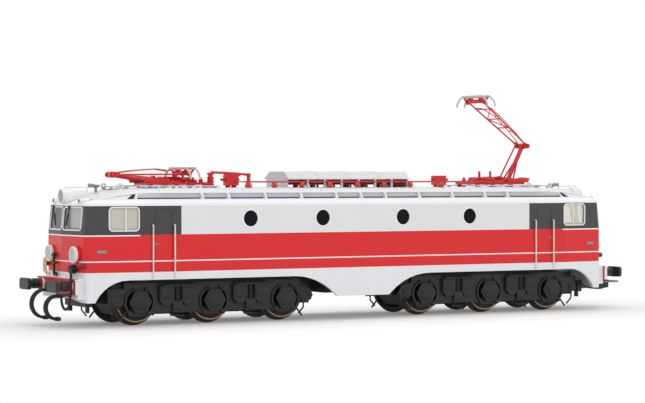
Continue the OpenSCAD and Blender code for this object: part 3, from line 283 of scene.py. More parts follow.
class Shape:
    """A mesh built up from small parts, given in millimetres."""

    def __init__(self):
        self.mesh = bmesh.new()

    def block(self, centre, half, bevel, turn=None):
        """Box with rounded edges: its centre, half its size each way, and a turn about the centre."""
        made = bmesh.ops.create_cube(self.mesh, size=2.0)["verts"]
        size = Matrix.Diagonal((*half, 1.0))
        place = Matrix.Translation(centre) @ (turn or Matrix()) @ size
        bmesh.ops.transform(self.mesh, matrix=place, verts=made)
        edges = list({edge: None for vert in made for edge in vert.link_edges})
        bmesh.ops.bevel(self.mesh, geom=edges, offset=bevel, segments=2, affect="EDGES", profile=0.5)

    def skin(self, rings):
        """Closed tube through rings of corners."""
        for lower, upper in zip(rings, rings[1:]):
            for side in range(len(lower)):
                after = (side + 1) % len(lower)
                self.mesh.faces.new([lower[side], lower[after], upper[after], upper[side]])
        self.mesh.faces.new(list(reversed(rings[0])))
        self.mesh.faces.new(rings[-1])

    def lathe(self, base, axis, outline, sides=16):
        """Turned part: its outline is [distance along the axis, radius], from `base`."""
        turn = Vector((0, 0, 1)).rotation_difference(Vector(axis)).to_matrix().to_4x4()
        place = Matrix.Translation(base) @ turn
        angles = [2 * math.pi * side / sides for side in range(sides)]
        rings = []
        for height, radius in outline:
            points = [Vector((radius * math.cos(a), radius * math.sin(a), height)) for a in angles]
            rings.append([self.mesh.verts.new(place @ point) for point in points])
        self.skin(rings)

    def rivet(self, base, axis, radius=0.22):
        """Domed head sitting on a surface."""
        self.lathe(base, axis, [
            [-0.05, radius], [radius * 0.25, radius * 0.92], [radius * 0.55, radius * 0.55],
            [radius * 0.65, radius * 0.12]], sides=8)

    def tube(self, path, radius, sides=8):
        """Round bar through the points of a path."""
        path = [Vector(point) for point in path]
        angles = [2 * math.pi * side / sides for side in range(sides)]
        side_way = None
        rings = []
        for index, point in enumerate(path):
            ahead = path[min(index + 1, len(path) - 1)] - path[max(index - 1, 0)]
            ahead.normalize()
            start = side_way if side_way else ahead.orthogonal()
            side_way = (start - ahead * start.dot(ahead)).normalized()
            up_way = ahead.cross(side_way)
            rings.append([self.mesh.verts.new(
                point + radius * (math.cos(a) * side_way + math.sin(a) * up_way)) for a in angles])
        self.skin(rings)

    def piece(self, name, body, finish):
        """Turns the mesh into a piece that rides on a body."""
        bmesh.ops.transform(self.mesh, matrix=Matrix.Scale(MM, 4), verts=self.mesh.verts)
        data = bpy.data.meshes.new(name)
        self.mesh.to_mesh(data)
        self.mesh.free()
        data.materials.append(finish.material)
        data.shade_smooth()
        data.set_sharp_from_angle(angle=math.radians(40))
        made = bpy.data.objects.new(name, data)
        bpy.context.scene.collection.objects.link(made)
        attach(made, body)


deck_z = 43.4
deck_half = 10.6
strip_half = 9.9
UP = (0, 0, 1)
ENDS = ((-1, "front"), (1, "rear"))

strips = Shape()
for joint_x in (-68.5, -27.2, 27.2, 68.5):
    strips.block([joint_x, 0, deck_z + 0.01], [0.6, strip_half, 0.11], 0.05)
    for rivet_y in range(-9, 10, 3):
        strips.rivet([joint_x, rivet_y, deck_z + 0.12], UP)
for side in (-1, 1):
    for step in range(-18, 19):
        strips.rivet([step * 3.6, side * (deck_half - 0.35), deck_z - 0.02], UP, 0.18)
strips.piece("roof_cover_strips", "locomotive_body", roof)

# ---------------------------------------------------------------- chassis and drive block
# The chassis is die-cast metal, blackened. The block on it stands for the motor
# and the weights, and is left in plain cast grey.

cast_black = Finish("blackened_casting")
cast_black.set({"Base Color": cast_black.shade(srgb(30, 30, 33), 0.3, 3)})
cast_black.gloss(0.55, 0.2, 0.5)
cast_black.grain(0.5, 0.02)
dress(cast_black, "chassis_frame")

cast_grey = Finish("cast_drive_block", {"Metallic": 0.6})
cast_grey.set({"Base Color": cast_grey.shade(srgb(120, 121, 124), 0.2, 4)})
cast_grey.gloss(0.5, 0.2, 0.6)
cast_grey.grain(0.6, 0.03)
dress(cast_grey, "motor_block")

# ---------------------------------------------------------------- cab inserts
# Each cab has a one-piece moulding of floor, rear wall, desk and seats in ivory
# plastic. The seats and the desk's top are touched in with darker paint.

cab_floor = 19.2
desk_x = 91.2

cab_plastic = Finish("cab_insert")
x, y, z = cab_plastic.place()
seat = abs(x).within(desk_x - 10.5, desk_x - 4.5) * z.within(cab_floor + 3.6, cab_floor + 11)
seat = seat * abs(y).within(4, 9)
desk_top = (abs(x) > desk_x - 2) * (z > waist - 2.6)
colour = cab_plastic.coat(srgb(250, 247, 238), seat, srgb(150, 138, 124))
colour = cab_plastic.coat(colour, desk_top, srgb(150, 152, 152))
cab_plastic.set({"Base Color": cab_plastic.shade(colour, 0.08, 3)})
cab_plastic.gloss(0.55, 0.15, 1)
cab_plastic.grain(0.3, 0.01)
dress(cab_plastic, "front_cab_interior", "rear_cab_interior")

# ---------------------------------------------------------------- cab glazing
# Mouldings pressed into the window openings from inside, flush with the walls:
# clear in the ends, half-opaque cream in the sides as painted light for the bright
# cab behind them, and dark in the portholes.

clear = Finish("clear_glazing", {"Base Color": srgb(244, 247, 248), "Roughness": 0.05, "Alpha": 0.14})
clear.grain(6, 0.01)
dress(clear, "windscreens")

# painted light: the side panes are a half-opaque cream that stands in for the lit cab seen through them
side_pane_painted_light = Finish("side_glazing", {"Base Color": srgb(250, 247, 232), "Roughness": 0.08, "Alpha": 0.5})
side_pane_painted_light.grain(6, 0.01)
dress(side_pane_painted_light, "side_windows")

smoked = Finish("smoked_glazing", {"IOR": 1.2})
smoked.set({"Base Color": smoked.shade(srgb(14, 15, 20), 0.3, 2)})
smoked.gloss(0.3, 0.1, 1.5)
dress(smoked, "porthole_glass")

# ---------------------------------------------------------------- bright trim
# Window frames and roof lamps are sprayed in matt silver. The horns, the blank
# number plates and the door handles are of grey metal.

silver = Finish("printed_silver", {"Metallic": 0.1})
silver.set({"Base Color": silver.shade(srgb(238, 238, 235), 0.06, 2)})
silver.gloss(0.3, 0.12, 0.4)
silver.grain(0.4, 0.006)
dress(silver, "window_frames", "roof_lamps")

plate_grey = Finish("plate_metal", {"Metallic": 0.5})
plate_grey.set({"Base Color": plate_grey.shade(srgb(150, 140, 138), 0.2, 0.6)})
plate_grey.gloss(0.4, 0.1, 0.3)
plate_grey.grain(0.3, 0.01)
dress(plate_grey, "horns")

plate_x = 93.6
plate_y = half_width - (plate_x - taper_x) * side_taper
plate_z = 23.6
handle_x = 75.6
handle_z = 25.8
lever_y = half_width + 0.35

plates = Shape()
for way in (-1, 1):
    for side in (-1, 1):
        # the sides taper here, so the plates are turned with them
        turn = Matrix.Rotation(-way * side * taper_angle, 4, "Z")
        plates.block([way * plate_x, side * plate_y, plate_z], [1.6, 0.09, 0.5], 0.03, turn)
        plates.block([way * handle_x, side * half_width, handle_z], [0.35, 0.1, 0.3], 0.04)
        plates.tube([
            [way * (handle_x - 0.3), side * (half_width + 0.05), handle_z],
            [way * (handle_x - 0.3), side * lever_y, handle_z],
            [way * (handle_x - 1.3), side * lever_y, handle_z]], 0.12)
plates.piece("number_plates_and_handles", "locomotive_body", plate_grey)

# ---------------------------------------------------------------- bufferbeams and buffers
# A plate across each end, painted red with white edges, with a ledge on top.
# The buffers are black mouldings pushed into it, with a red rim at the root.

beam_red = Finish("beam_paint")
edge_face = abs(beam_red.facing()[1]) > 0.5
colour = beam_red.coat(srgb(196, 30, 36), edge_face, SILVER_WHITE)
beam_red.set({"Base Color": beam_red.shade(colour, 0.08, 3)})
beam_red.gloss(0.42, 0.1, 1)
beam_red.grain(0.35, 0.012)
dress(beam_red, "bufferbeams")

beam_x = 101.98
buffer_y = 11.3
buffer_z = 13.1
flange_bolts = ((-2.3, -1.5), (2.3, -1.5), (-2.3, 1.0), (2.3, 1.0))

bolts = Shape()
for way in (-1, 1):
    for side in (-1, 1):
        for bolt_y, bolt_z in flange_bolts:
            bolts.rivet([way * beam_x, side * buffer_y + bolt_y, buffer_z + bolt_z], (way, 0, 0), 0.27)
        for bolt_y in (1.9, 4.4, 7.2):
            bolts.rivet([way * beam_x, side * bolt_y, buffer_z + 1.1], (way, 0, 0), 0.2)
bolts.piece("beam_bolts", "locomotive_body", beam_red)

buffer_black = Finish("buffer_moulding")
root = abs(buffer_black.place()[0]) < 103.4
colour = buffer_black.coat(srgb(34, 34, 35), root, srgb(150, 34, 34))
buffer_black.set({"Base Color": buffer_black.shade(colour, 0.15, 1.5)})
buffer_black.gloss(0.4, 0.15, 0.8)
buffer_black.grain(0.3, 0.012)
dress(buffer_black, "buffers")

# ---------------------------------------------------------------- lamps
# Headlight lenses are ribbed clear mouldings in red housings with a bright rim.
# The lenses of the small upper lamps are smoked, and the markers are dark red.

housing = Finish("headlight_housing")
rim = abs(housing.place()[0]) > ridge_x - 0.2
housing.set({"Base Color": housing.coat(RED, rim, housing.shade(srgb(238, 238, 236), 0.06, 1))})
housing.gloss(0.34, 0.1, 0.6)
housing.grain(0.3, 0.008)
dress(housing, "lower_headlights")

roof_lamps_from = 38
rib_pitch = 0.5

lens = Finish("ribbed_lens", {"IOR": 1.49, "Transmission Weight": 0.25, "Coat Weight": 0.3})
x, y, z = lens.place()
on_roof = z > roof_lamps_from
ribs = abs((abs(y) % rib_pitch) - rib_pitch / 2) * 4
glass = lens.coat(srgb(240, 242, 242), on_roof, srgb(196, 197, 198))
glass = lens.coat(glass, on_roof * (abs(y) > 5), srgb(70, 70, 72))
lens.set({"Base Color": lens.shade(glass, 0.1, 0.8)})
lens.gloss(0.08, 0.05, 1)
lens.bump(ribs, 0.06)
dress(lens, "lamp_lenses")

marker = Finish("marker_moulding", {"Coat Weight": 0.15, "Coat Roughness": 0.1})
marker.set({"Base Color": marker.shade(srgb(124, 14, 20), 0.2, 0.6)})
marker.gloss(0.36, 0.1, 0.5)
dress(marker, "marker_lamps")

# ---------------------------------------------------------------- black fittings
# Wipers, hooks, the cable socket and the lamp bracket are small black mouldings;
# the hoses and the jumper cable are of softer plastic with a duller skin.

fitting_black = Finish("black_fitting")
fitting_black.set({"Base Color": fitting_black.shade(srgb(30, 30, 31), 0.2, 1)})
fitting_black.gloss(0.42, 0.15, 0.6)
fitting_black.grain(0.25, 0.01)
dress(fitting_black, "wipers", "front_jumper_socket", "front_lamp_bracket", "draw_hooks")

hose = Finish("hose_skin")
hose.set({"Base Color": hose.shade(srgb(26, 26, 27), 0.25, 1)})
hose.gloss(0.6, 0.15, 0.5)
hose.grain(0.2, 0.012)
dress(hose, "front_air_hoses", "front_jumper_cable")

# The lead comes out of the socket's lid and drops past the beam to the loop
lead = Shape()
lead.tube([
    [-101.2, -10.2, 18.2], [-101.9, -11.4, 17.9], [-102.5, -12.7, 17.0],
    [-102.85, -13.5, 15.6], [-102.95, -13.7, 13.4], [-102.85, -13.6, 11.6],
    [-102.7, -12.9, 10.4], [-102.6, -12.1, 9.4], [-102.6, -11.9, 8.6]], 0.42, 10)
lead.lathe([-100.9, -9.9, 18.2], (-0.45, -0.85, 0), [[0, 0.6], [0.9, 0.6], [1.1, 0.5]], 12)
lead.piece("front_jumper_lead", "locomotive_body", hose)

# ---------------------------------------------------------------- handrails and bow rail
# The rails beside the doors are drawn wire, pushed into the side, and so are the
# lifting eyes on the roof. The bow rail on the end is painted cream.

wire = Finish("bright_wire", {"Metallic": 0.25})
wire.set({"Base Color": wire.shade(srgb(226, 222, 212), 0.12, 1)})
wire.gloss(0.28, 0.15, 0.4)
wire.grain(0.15, 0.005)
dress(wire, "cab_handrails", "roof_wires")

cream = Finish("cream_rail")
cream.set({"Base Color": cream.shade(srgb(246, 222, 182), 0.1, 1)})
cream.gloss(0.4, 0.1, 0.6)
cream.grain(0.25, 0.01)
dress(cream, "front_bow_rail")

# ---------------------------------------------------------------- resistor hood and walkways
# A shallow hood of pale grey plastic stands on posts over the braking resistors.
# The walkways beside it are boards with a fine tread pattern.

hood_grey = Finish("pale_grey_moulding")
# painted shade: the hood's end faces are painted darker than its top and sides
shaded_end_face = abs(hood_grey.facing()[0]) > 0.9
colour = hood_grey.coat(srgb(219, 222, 225), shaded_end_face, srgb(203, 206, 208))
hood_grey.set({"Base Color": hood_grey.shade(colour, 0.05, 8)})
hood_grey.gloss(0.4, 0.12, 3)
hood_grey.grain(0.35, 0.012)
dress(hood_grey, "resistor_hood")

hood_half_length = 23.6
hood_edge_y = 8.4
hood_edge_z = 46.23
hood_slope = math.atan2(2.45, 3.4)
hood_side_y = 6.8
hood_side_z = 47.45
hood_top_z = 48.66

trim = Shape()
for side in (-1, 1):
    trim.block([0, side * hood_edge_y, hood_edge_z], [hood_half_length, 0.2, 0.11], 0.05)
for joint_x in (-11.7, 0, 11.7):
    for side in (-1, 1):
        slant = Matrix.Rotation(-side * hood_slope, 4, "X")
        trim.block([joint_x, side * hood_side_y, hood_side_z], [0.3, 2.0, 0.07], 0.03, slant)
    trim.block([joint_x, 0, hood_top_z], [0.3, 5.0, 0.06], 0.03)
trim.piece("hood_rims", "locomotive_body", hood_grey)

tread_pitch = 0.7
tread_width = 0.3

boards = Finish("walkway_boards")
x, y, z = boards.place()
tread = ((x + y) % tread_pitch).within(0, tread_width) + ((x - y) % tread_pitch).within(0, tread_width)
boards.set({"Base Color": boards.shade(srgb(205, 208, 211), 0.08, 3)})
boards.gloss(0.45, 0.12, 1.5)
boards.bump(tread, 0.03)
dress(boards, "roof_walkways")

maroon = Finish("resistor_frames")
maroon.set({"Base Color": maroon.shade(srgb(120, 26, 30), 0.25, 1.5)})
maroon.gloss(0.45, 0.15, 0.7)
maroon.grain(0.3, 0.012)
dress(maroon, "resistor_bank")

# ---------------------------------------------------------------- busbar and insulators
# The high-voltage line runs along one side of the roof on turned insulators. Bar
# and insulators are both red, the insulators glossier and more orange.

bus_red = Finish("busbar_paint")
bus_red.set({"Base Color": bus_red.shade(srgb(200, 40, 38), 0.12, 1.5)})
bus_red.gloss(0.35, 0.12, 0.7)
bus_red.grain(0.25, 0.008)
dress(bus_red, "busbar")

ceramic = Finish("insulator_glaze", {"Coat Weight": 0.5, "Coat Roughness": 0.08})
ceramic.set({"Base Color": ceramic.shade(srgb(205, 62, 44), 0.2, 0.8)})
ceramic.gloss(0.25, 0.12, 0.6)
dress(ceramic, "busbar_insulators")

# ---------------------------------------------------------------- pantographs and switch boxes
# The pantographs are sheet and wire, painted bright red all over; the switch
# boxes between them carry the same paint.

PANTO_RED = srgb(212, 30, 36)

panto_red = Finish("pantograph_paint")
panto_red.set({"Base Color": panto_red.shade(PANTO_RED, 0.1, 2)})
panto_red.gloss(0.33, 0.12, 1)
panto_red.grain(0.3, 0.01)
panto_nodes = [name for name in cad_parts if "_panto_" in name and not name.endswith("head")]
dress(panto_red, "switch_boxes", *panto_nodes)

# The heads carry bare contact strips and wire horns, and only their cradles are red
folded_strip_z = 49.25
raised_strip_z = 74.55
between_heads = 60
cradle_half = 5.7

head_paint = Finish("pantograph_head")
x, y, z = head_paint.place()
bare = z.within(folded_strip_z, between_heads) + (z > raised_strip_z) + (abs(y) > cradle_half)
strip_metal = head_paint.shade(srgb(196, 194, 184), 0.2, 1)
head_paint.set({"Base Color": head_paint.coat(PANTO_RED, bare, strip_metal)})
head_paint.gloss(0.35, 0.15, 0.8)
head_paint.grain(0.25, 0.01)
dress(head_paint, "front_panto_head", "rear_panto_head")

# Springs, clamps, pipes and bolts on the base frames
panto_x = 69.4
rail_z = deck_z + 0.9
rail_y = 5.6
pipe_y = 4.55
spring_y = 1.75
spring_up = 2.15


def coil(start, climb, first, second, turns, per_turn):
    """Path of a coil spring that climbs from `start`, with its two radii square to each other."""
    steps = turns * per_turn
    path = []
    for step in range(steps + 1):
        angle = 2 * math.pi * step / per_turn
        round_it = Vector(first) * math.cos(angle) + Vector(second) * math.sin(angle)
        path.append(Vector(start) + Vector(climb) * (step / steps) + round_it)
    return path


def on_base(way, out, y, up):
    """Point of a pantograph's base: `out` towards the end, `up` from the rails."""
    return [way * (panto_x + out), y, rail_z + up]


for way, end_name in ENDS:
    gear = Shape()
    for side in (-1, 1):
        # tension spring round its rod, and the plate that both are hooked to
        gear.tube(coil(on_base(way, -3.2, side * spring_y, spring_up), (-way * 6.4, 0, 0),
                       (0, 0.5, 0), (0, 0, 0.5), 11, 10), 0.13, 6)
        gear.tube([on_base(way, out, side * spring_y, spring_up) for out in (-2.6, -10.2)], 0.24)
        gear.block(on_base(way, -10.5, side * spring_y, 1.6), [0.3, 0.5, 1.1], 0.08)
        for out in (-17.3, -14.2, -8.2, -1.0, 2.3):
            gear.rivet(on_base(way, out, side * rail_y, 0.78), UP, 0.28)
        for out in (-16.1, -12.4, -6.3):
            gear.block(on_base(way, out, side * rail_y, 0.425), [0.25, 0.55, 0.525], 0.06)
        # pipe beside the rail, and its elbow into the cylinder
        gear.tube([
            on_base(way, 2.6, side * pipe_y, 0.35), on_base(way, -12, side * pipe_y, 0.35),
            on_base(way, -12.8, side * 4.1, 0.5), on_base(way, -13, side * 2.2, 0.9)], 0.22)
        gear.lathe(on_base(way, -16.2, side * 3.3, 0), UP, [
            [0, 0.85], [0.5, 0.95], [0.9, 0.6], [1.5, 0.8], [2.0, 0.45], [2.5, 0.3]], 14)
        # spring pots and cheeks beside the lower arm's bearings
        gear.lathe(on_base(way, 1.2, side * 4.85, 1.85), (way, 0, 0), [
            [0, 0.4], [0.3, 0.6], [3.6, 0.6], [3.9, 0.4], [4.6, 0.35], [4.9, 0.2]], 14)
        gear.block(on_base(way, 0.6, side * 5.7, 1.35), [4.4, 0.25, 0.65], 0.1)
        gear.lathe(on_base(way, -8.6, side * 4.6, 1.8), (-way, 0, 0), [
            [0, 0.35], [0.2, 0.7], [4.4, 0.7], [4.6, 0.35]], 14)
    gear.block(on_base(way, -14.6, 0, 0.9), [0.9, 2.2, 0.8], 0.15)
    gear.block(on_base(way, 1.9, 0, 0.3), [0.7, 3.6, 0.2], 0.12)
    gear.piece(end_name + "_panto_springs", "locomotive_body", panto_red)

# Yoke between the cradle's cheeks, inside the upper arm's tubes
head_pins = (("front", -58.14, 47.73), ("rear", 55.99, 73.05))
for end_name, pin_x, pin_z in head_pins:
    yoke = Shape()
    yoke.block([pin_x, 0, pin_z + 0.25], [0.75, 4.0, 0.65], 0.2)
    for side in (-1, 1):
        yoke.block([pin_x, side * 3.2, pin_z + 0.95], [1.0, 0.25, 0.45], 0.1)
    yoke.piece(end_name + "_panto_yoke", end_name + "_panto_head", panto_red)

# Terminals, lids and bolts of the switch boxes; the front box has a taller lid
box_x = 40.5
box_end = 2.1
terminal_z = 46.0
lid_z = 47.16

for way, end_name in ENDS:
    terminal = Shape()
    terminal.lathe([way * (box_x + box_end), 0, terminal_z], (way, 0, 0), [
        [-0.1, 0.75], [0.35, 0.75], [0.5, 0.5], [1.4, 0.45], [1.9, 0.12]], 14)
    terminal.lathe([way * (box_x - box_end), 0, terminal_z], (-way, 0, 0), [
        [-0.1, 0.6], [0.3, 0.6], [0.4, 0.4], [1.0, 0.35]], 14)
    terminal.block([way * box_x, 0, lid_z], [2.2, 1.62, 0.16], 0.06)
    if end_name == "front":
        terminal.block([-40.1, 0, lid_z + 0.44], [2.4, 1.55, 0.4], 0.12)
    for bolt_x in (box_x - 1.5, box_x + 1.5):
        for side in (-1, 1):
            terminal.rivet([way * bolt_x, side * 1.1, lid_z + 0.14], UP, 0.22)
            terminal.rivet([way * bolt_x, side * 1.48, terminal_z - 1], (0, side, 0), 0.2)
    terminal.piece("switch_box_terminals_" + end_name, "locomotive_body", panto_red)

# Blade of the front roof switch, between its hinge and its contact
hinge_x = -48.6
contact_x = -34.6
blade_y = -1.2

blade = Shape()
blade.lathe([hinge_x, blade_y, deck_z - 0.05], UP, [
    [0, 1.5], [0.45, 1.5], [0.6, 1.05], [1.3, 1.3], [1.5, 0.95], [2.3, 1.25],
    [2.5, 0.95], [3.4, 1.2], [3.6, 0.8], [4.3, 0.7]], 18)
blade.block([hinge_x, blade_y, deck_z + 4.5], [0.9, 0.8, 0.4], 0.15)
blade.tube([[hinge_x + 0.2, blade_y, 48.4], [-40, blade_y, 48.05], [contact_x, blade_y, 47.6]], 0.42, 10)
blade.block([contact_x, blade_y, 47.4], [0.5, 0.7, 0.7], 0.12)
blade.lathe([contact_x, blade_y, deck_z - 0.05], UP, [
    [0, 1.2], [0.4, 1.2], [0.5, 0.8], [1.2, 1.05], [1.4, 0.7], [2.1, 1.0], [2.3, 0.65], [3.4, 0.55]], 18)
blade.piece("front_roof_switch", "locomotive_body", panto_red)

# Balance rods of the upper arms, which lie in the arms' own slopes
upper_arms = {
    "front": (-1, (panto_x + 13.74, 47.6), math.radians(0.3)),
    "rear": (1, (panto_x + 6.42, 57.83), math.radians(37.5))}
rod_bends = ((1.6, 0.6, 1.9), (7, 1.25, 1.7), (15, 1.75, 1.6), (20.2, 1.1, 2.8), (21.6, 0.2, 4.2))


def on_arm(arm, reach, y, rise):
    """Point of an upper arm: `reach` from the knee towards the head, `rise` square to it."""
    way, knee, slope = arm
    run = reach * math.cos(slope) - rise * math.sin(slope)
    climb = reach * math.sin(slope) + rise * math.cos(slope)
    return [way * (knee[0] - run), y, knee[1] + climb]


for end_name, arm in upper_arms.items():
    rods = Shape()
    for side in (-1, 1):
        rods.tube([on_arm(arm, reach, side * wide, rise) for reach, rise, wide in rod_bends], 0.17)
    for reach, rise, wide in rod_bends[1:3]:
        rods.tube([on_arm(arm, reach, side * wide, rise) for side in (-1, 1)], 0.17)
    rods.piece(end_name + "_panto_balance_rods", end_name + "_panto_upper_arm", panto_red)

# ---------------------------------------------------------------- bogies and wheels
# Bogie frames, axlebox covers and springs are one black moulding a side, with
# painted shade on the parts that stand proud. The wheels have black centres in
# darkened tyres whose faces are turned bright.

pivot_x = 53.1
axle_pitch = 26.1
axle_z = 8.1
cover_z = 7.6
frame_out = 12.3
cover_out = 13.5
tail_y = 11.9
outer_tip = 35.4
inner_tip = 33.2
shoe_reach = 7.95
shoe_y = 8.6

bogie_black = Finish("bogie_moulding")
# painted shade: the parts standing proud of the frame are painted darker, to hold back the front light on
# them
proud_painted_shade = abs(bogie_black.place()[1]) > cover_out - 0.3
colour = bogie_black.coat(srgb(25, 25, 28), proud_painted_shade, srgb(19, 19, 22))
bogie_black.set({"Base Color": bogie_black.shade(colour, 0.25, 4)})
bogie_black.gloss(0.42, 0.2, 0.6)
bogie_black.grain(0.4, 0.02)
dress(bogie_black, *[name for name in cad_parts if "_bogie_" in name])


def axlebox_fittings(gear, centre_x, side):
    """Round cover with six bolts, and links curved round it from the box to the frame."""
    out = (0, side, 0)
    gear.lathe([centre_x, side * (cover_out - 0.1), cover_z], out, [
        [0, 2.5], [0.2, 2.5], [0.32, 2.3], [0.32, 1.2]], 24)
    for step in range(6):
        angle = math.pi * step / 3
        gear.rivet([centre_x + 3.05 * math.cos(angle), side * cover_out,
                    cover_z + 2.75 * math.sin(angle)], out, 0.27)
    for hand in (-1, 1):
        arc = []
        for degrees in range(-50, 71, 15):
            angle = math.radians(degrees)
            arc.append([centre_x + hand * 4.9 * math.cos(angle), cover_z - 0.2 + 4.6 * math.sin(angle)])
        gear.tube([[link_x, side * (frame_out + 0.25), link_z] for link_x, link_z in arc], 0.42)
        gear.lathe([arc[0][0], side * (frame_out - 0.1), arc[0][1]], out, [
            [0, 0.75], [0.7, 0.75], [0.85, 0.5]], 12)


def spring_fittings(gear, centre_x, side):
    """Coil spring and riveted boxes between two axles, and the brake hanger below them."""
    gear.tube(coil([centre_x, side * (frame_out + 0.35), 7.8], (0, 0, 4.3),
                   (1, 0, 0), (0, side, 0), 5, 12), 0.24, 6)
    for box_middle in (centre_x - 3.9, centre_x + 3.9):
        gear.block([box_middle, side * (frame_out + 1.1), 10.2], [2.2, 0.2, 1.8], 0.12)
        for rivet_x in (-1.8, 1.8):
            for rivet_z in (8.8, 11.6):
                gear.rivet([box_middle + rivet_x, side * (frame_out + 1.28), rivet_z], (0, side, 0), 0.2)
    gear.block([centre_x, side * (frame_out + 0.2), 13.1], [6.2, 0.35, 0.2], 0.1)
    gear.tube([
        [centre_x - 1.2, side * (frame_out + 0.4), 5.4], [centre_x - 2.3, side * (frame_out + 0.2), 3.1],
        [centre_x + 2.6, side * (frame_out - 0.2), 2.9]], 0.3)


def tail_fittings(gear, middle, tail, side, outer):
    """Plate, box and guard iron at one end of a bogie; the loco's outer ends reach further."""
    tip = middle + tail * (outer_tip if outer else inner_tip)
    gear.block([middle + tail * 33.4, side * 11.1, 9.6], [2.2, 0.2, 4.0], 0.15)
    if outer:
        gear.block([middle + tail * 33.6, side * tail_y, 10.6], [3.4, 0.5, 1.4], 0.2)
    gear.block([tip, side * tail_y, 8.0], [1.5, 0.7, 1.4], 0.2)
    gear.tube([
        [tip, side * tail_y, 6.8], [tip, side * 11.7, 4.2], [tip - tail * 1.2, side * 10.6, 2.2]], 0.28)
    gear.lathe([tip, side * 12.5, 8.0], (0, side, 0), [[0, 0.9], [0.3, 0.9], [0.45, 0.6]], 14)


def brake_shoe(gear, axle_x, hand, side):
    """Shoe beside a wheel's tread, on its hanger."""
    shoe_x = axle_x + hand * shoe_reach
    gear.block([shoe_x, side * shoe_y, 7.65], [0.5, 0.9, 1.75], 0.2)
    gear.tube([[shoe_x, side * shoe_y, 9], [shoe_x + hand * 0.5, side * (shoe_y + 1), 12.6]], 0.3)


for way, end_name in ENDS:
    gear = Shape()
    middle = way * pivot_x
    for side in (-1, 1):
        for axle in (-1, 0, 1):
            axlebox_fittings(gear, middle + axle * axle_pitch, side)
            for hand in (-1, 1):
                brake_shoe(gear, middle + axle * axle_pitch, hand, side)
        for between in (-0.5, 0.5):
            spring_fittings(gear, middle + between * axle_pitch, side)
        for tail in (-1, 1):
            tail_fittings(gear, middle, tail, side, tail == way)
        gear.tube([[middle + run, side * (frame_out + 0.2), 13.6] for run in (-29, 29)], 0.2)
        for bolt_x in range(-30, 31, 6):
            gear.rivet([middle + bolt_x, side * 5.2, 3.22], (0, 0, -1), 0.3)
    gear.piece(end_name + "_bogie_fittings", end_name + "_bogie", bogie_black)

wheel_black = Finish("wheel_centre")
wheel_black.set({"Base Color": wheel_black.shade(srgb(28, 28, 30), 0.2, 2)})
wheel_black.gloss(0.5, 0.15, 1)
wheel_black.grain(0.4, 0.015)
dress(wheel_black, *[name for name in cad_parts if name.startswith("wheelset_")])

tyre_face_y = 9.9

bronze = Finish("turned_tyre")
x, y, z = bronze.place()
along_bogie = abs((abs(x) - pivot_x + axle_pitch / 2) % axle_pitch - axle_pitch / 2)
from_axle = (along_bogie ** 2 + (z - axle_z) ** 2) ** 0.5
ring = from_axle.within(6.66, 7.0) * (abs(y) > tyre_face_y)
dark_tyre = bronze.shade(srgb(44, 38, 33), 0.3, 1.2)
bright_ring = bronze.shade(srgb(176, 142, 100), 0.25, 1.2)
bronze.set({"Base Color": bronze.coat(dark_tyre, ring, bright_ring), "Metallic": ring * 0.7})
bronze.gloss(0.34, 0.15, 0.5)
bronze.grain(0.15, 0.006)
dress(bronze, *[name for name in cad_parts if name.startswith("tyres_")])

# ---------------------------------------------------------------- rear coupler
# A black plastic shank and hook with a stamped steel loop clipped through it.
# The shank turns on a pin below the rear end.

coupler_black = Finish("coupler_plastic")
coupler_black.set({"Base Color": coupler_black.shade(srgb(30, 30, 31), 0.2, 1.5)})
coupler_black.gloss(0.38, 0.12, 0.7)
coupler_black.grain(0.3, 0.01)
dress(coupler_black, "rear_coupler")

steel = Finish("stamped_steel", {"Metallic": 0.9})
steel.set({"Base Color": steel.shade(srgb(120, 120, 122), 0.15, 1)})
steel.gloss(0.32, 0.15, 0.4)
steel.grain(0.2, 0.006)
dress(steel, "rear_coupler_loop")

# ---------------------------------------------------------------- floor, light and camera
# The model stands on a plain pale table that runs out into white, under broad
# lamps in front of it and above it and a fainter one from its tail.

WHITE = (1, 1, 1, 1)
covered_x = 108
covered_y = 17
fade_width = 45
least_white = 0.18

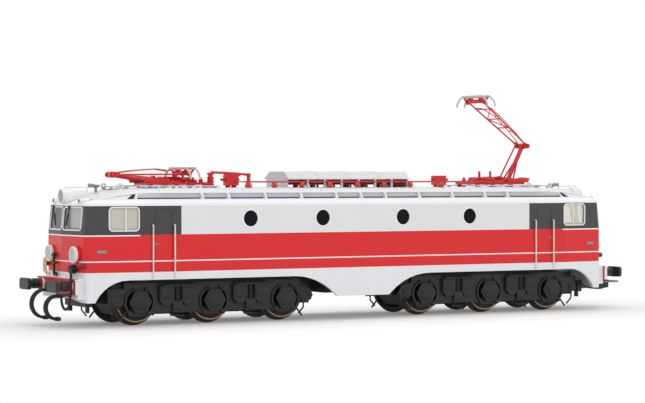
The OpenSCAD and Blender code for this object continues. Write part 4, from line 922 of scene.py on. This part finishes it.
table = Finish("pale_table", {"Base Color": srgb(240, 240, 240), "Roughness": 0.9})
x, y, z = table.place()
beyond_x = (abs(x) - covered_x).at_least(0)
beyond_y = (abs(y) - covered_y).at_least(0)
far = ((beyond_x * beyond_x + beyond_y * beyond_y) ** 0.5 / fade_width).at_most(1)
seen = table.node("ShaderNodeLightPath", output="Is Camera Ray")
seen = seen.at_least(table.node("ShaderNodeLightPath", output="Is Glossy Ray"))
seen = seen.at_least(table.node("ShaderNodeLightPath", output="Is Transmission Ray"))
white = table.node("ShaderNodeEmission", {}, {"Color": WHITE, "Strength": 1.0})
whiteness = seen * (least_white + far * (1 - least_white))
mixed = table.node("ShaderNodeMixShader", {}, {
    0: whiteness, 1: Number(table, table.shader.outputs[0]), 2: white})
table.fill(table.material.node_tree.nodes["Material Output"], {"Surface": mixed})
bpy.ops.mesh.primitive_plane_add(size=6)
floor = bpy.context.object
floor.name = "table"
floor.data.materials.append(table.material)

# The room is seen as white but lights the model a little less
world = bpy.data.worlds.new("studio")
world.use_nodes = True
bpy.context.scene.world = world
sky = world.node_tree
background = sky.nodes["Background"]
rays = sky.nodes.new("ShaderNodeLightPath")
seen_by = rays.outputs["Is Camera Ray"]
for ray in ("Is Glossy Ray", "Is Transmission Ray"):
    either = sky.nodes.new("ShaderNodeMath")
    either.operation = "MAXIMUM"
    sky.links.new(seen_by, either.inputs[0])
    sky.links.new(rays.outputs[ray], either.inputs[1])
    seen_by = either.outputs[0]
level = sky.nodes.new("ShaderNodeMapRange")
level.inputs["To Min"].default_value = 0.62
level.inputs["To Max"].default_value = 1.0
sky.links.new(seen_by, level.inputs["Value"])
sky.links.new(level.outputs["Result"], background.inputs["Strength"])
background.inputs["Color"].default_value = WHITE


def lamp(name, place, width, height, radiance):
    """A soft box of even brightness, turned to the model."""
    light = bpy.data.lights.new(name, "AREA")
    light.shape = "RECTANGLE"
    light.size = width
    light.size_y = height
    light.energy = radiance * math.pi * width * height
    made = bpy.data.objects.new(name, light)
    bpy.context.scene.collection.objects.link(made)
    made.location = place
    made.rotation_euler = (Vector((0, 0, 0.03)) - Vector(place)).to_track_quat("-Z", "Y").to_euler()


lamp("front_softbox", (-0.35, -1.1, 0.75), 1.2, 0.7, 1.15)
lamp("top_softbox", (0.1, 0.1, 1.1), 1.4, 1.0, 1.0)
lamp("tail_softbox", (1.2, -0.4, 0.5), 0.7, 0.7, 0.5)

camera = bpy.data.cameras.new("view")
camera.lens = 118.8
camera.sensor_width = 36
camera.clip_start = 0.01
eye = bpy.data.objects.new("view", camera)
bpy.context.scene.collection.objects.link(eye)
eye.location = (-0.36109, -0.62047, 0.04662)
eye.rotation_euler = (math.radians(90 - 0.64), 0, math.radians(-29.79))
bpy.context.scene.camera = eye
bpy.context.scene.view_settings.view_transform = "Standard"
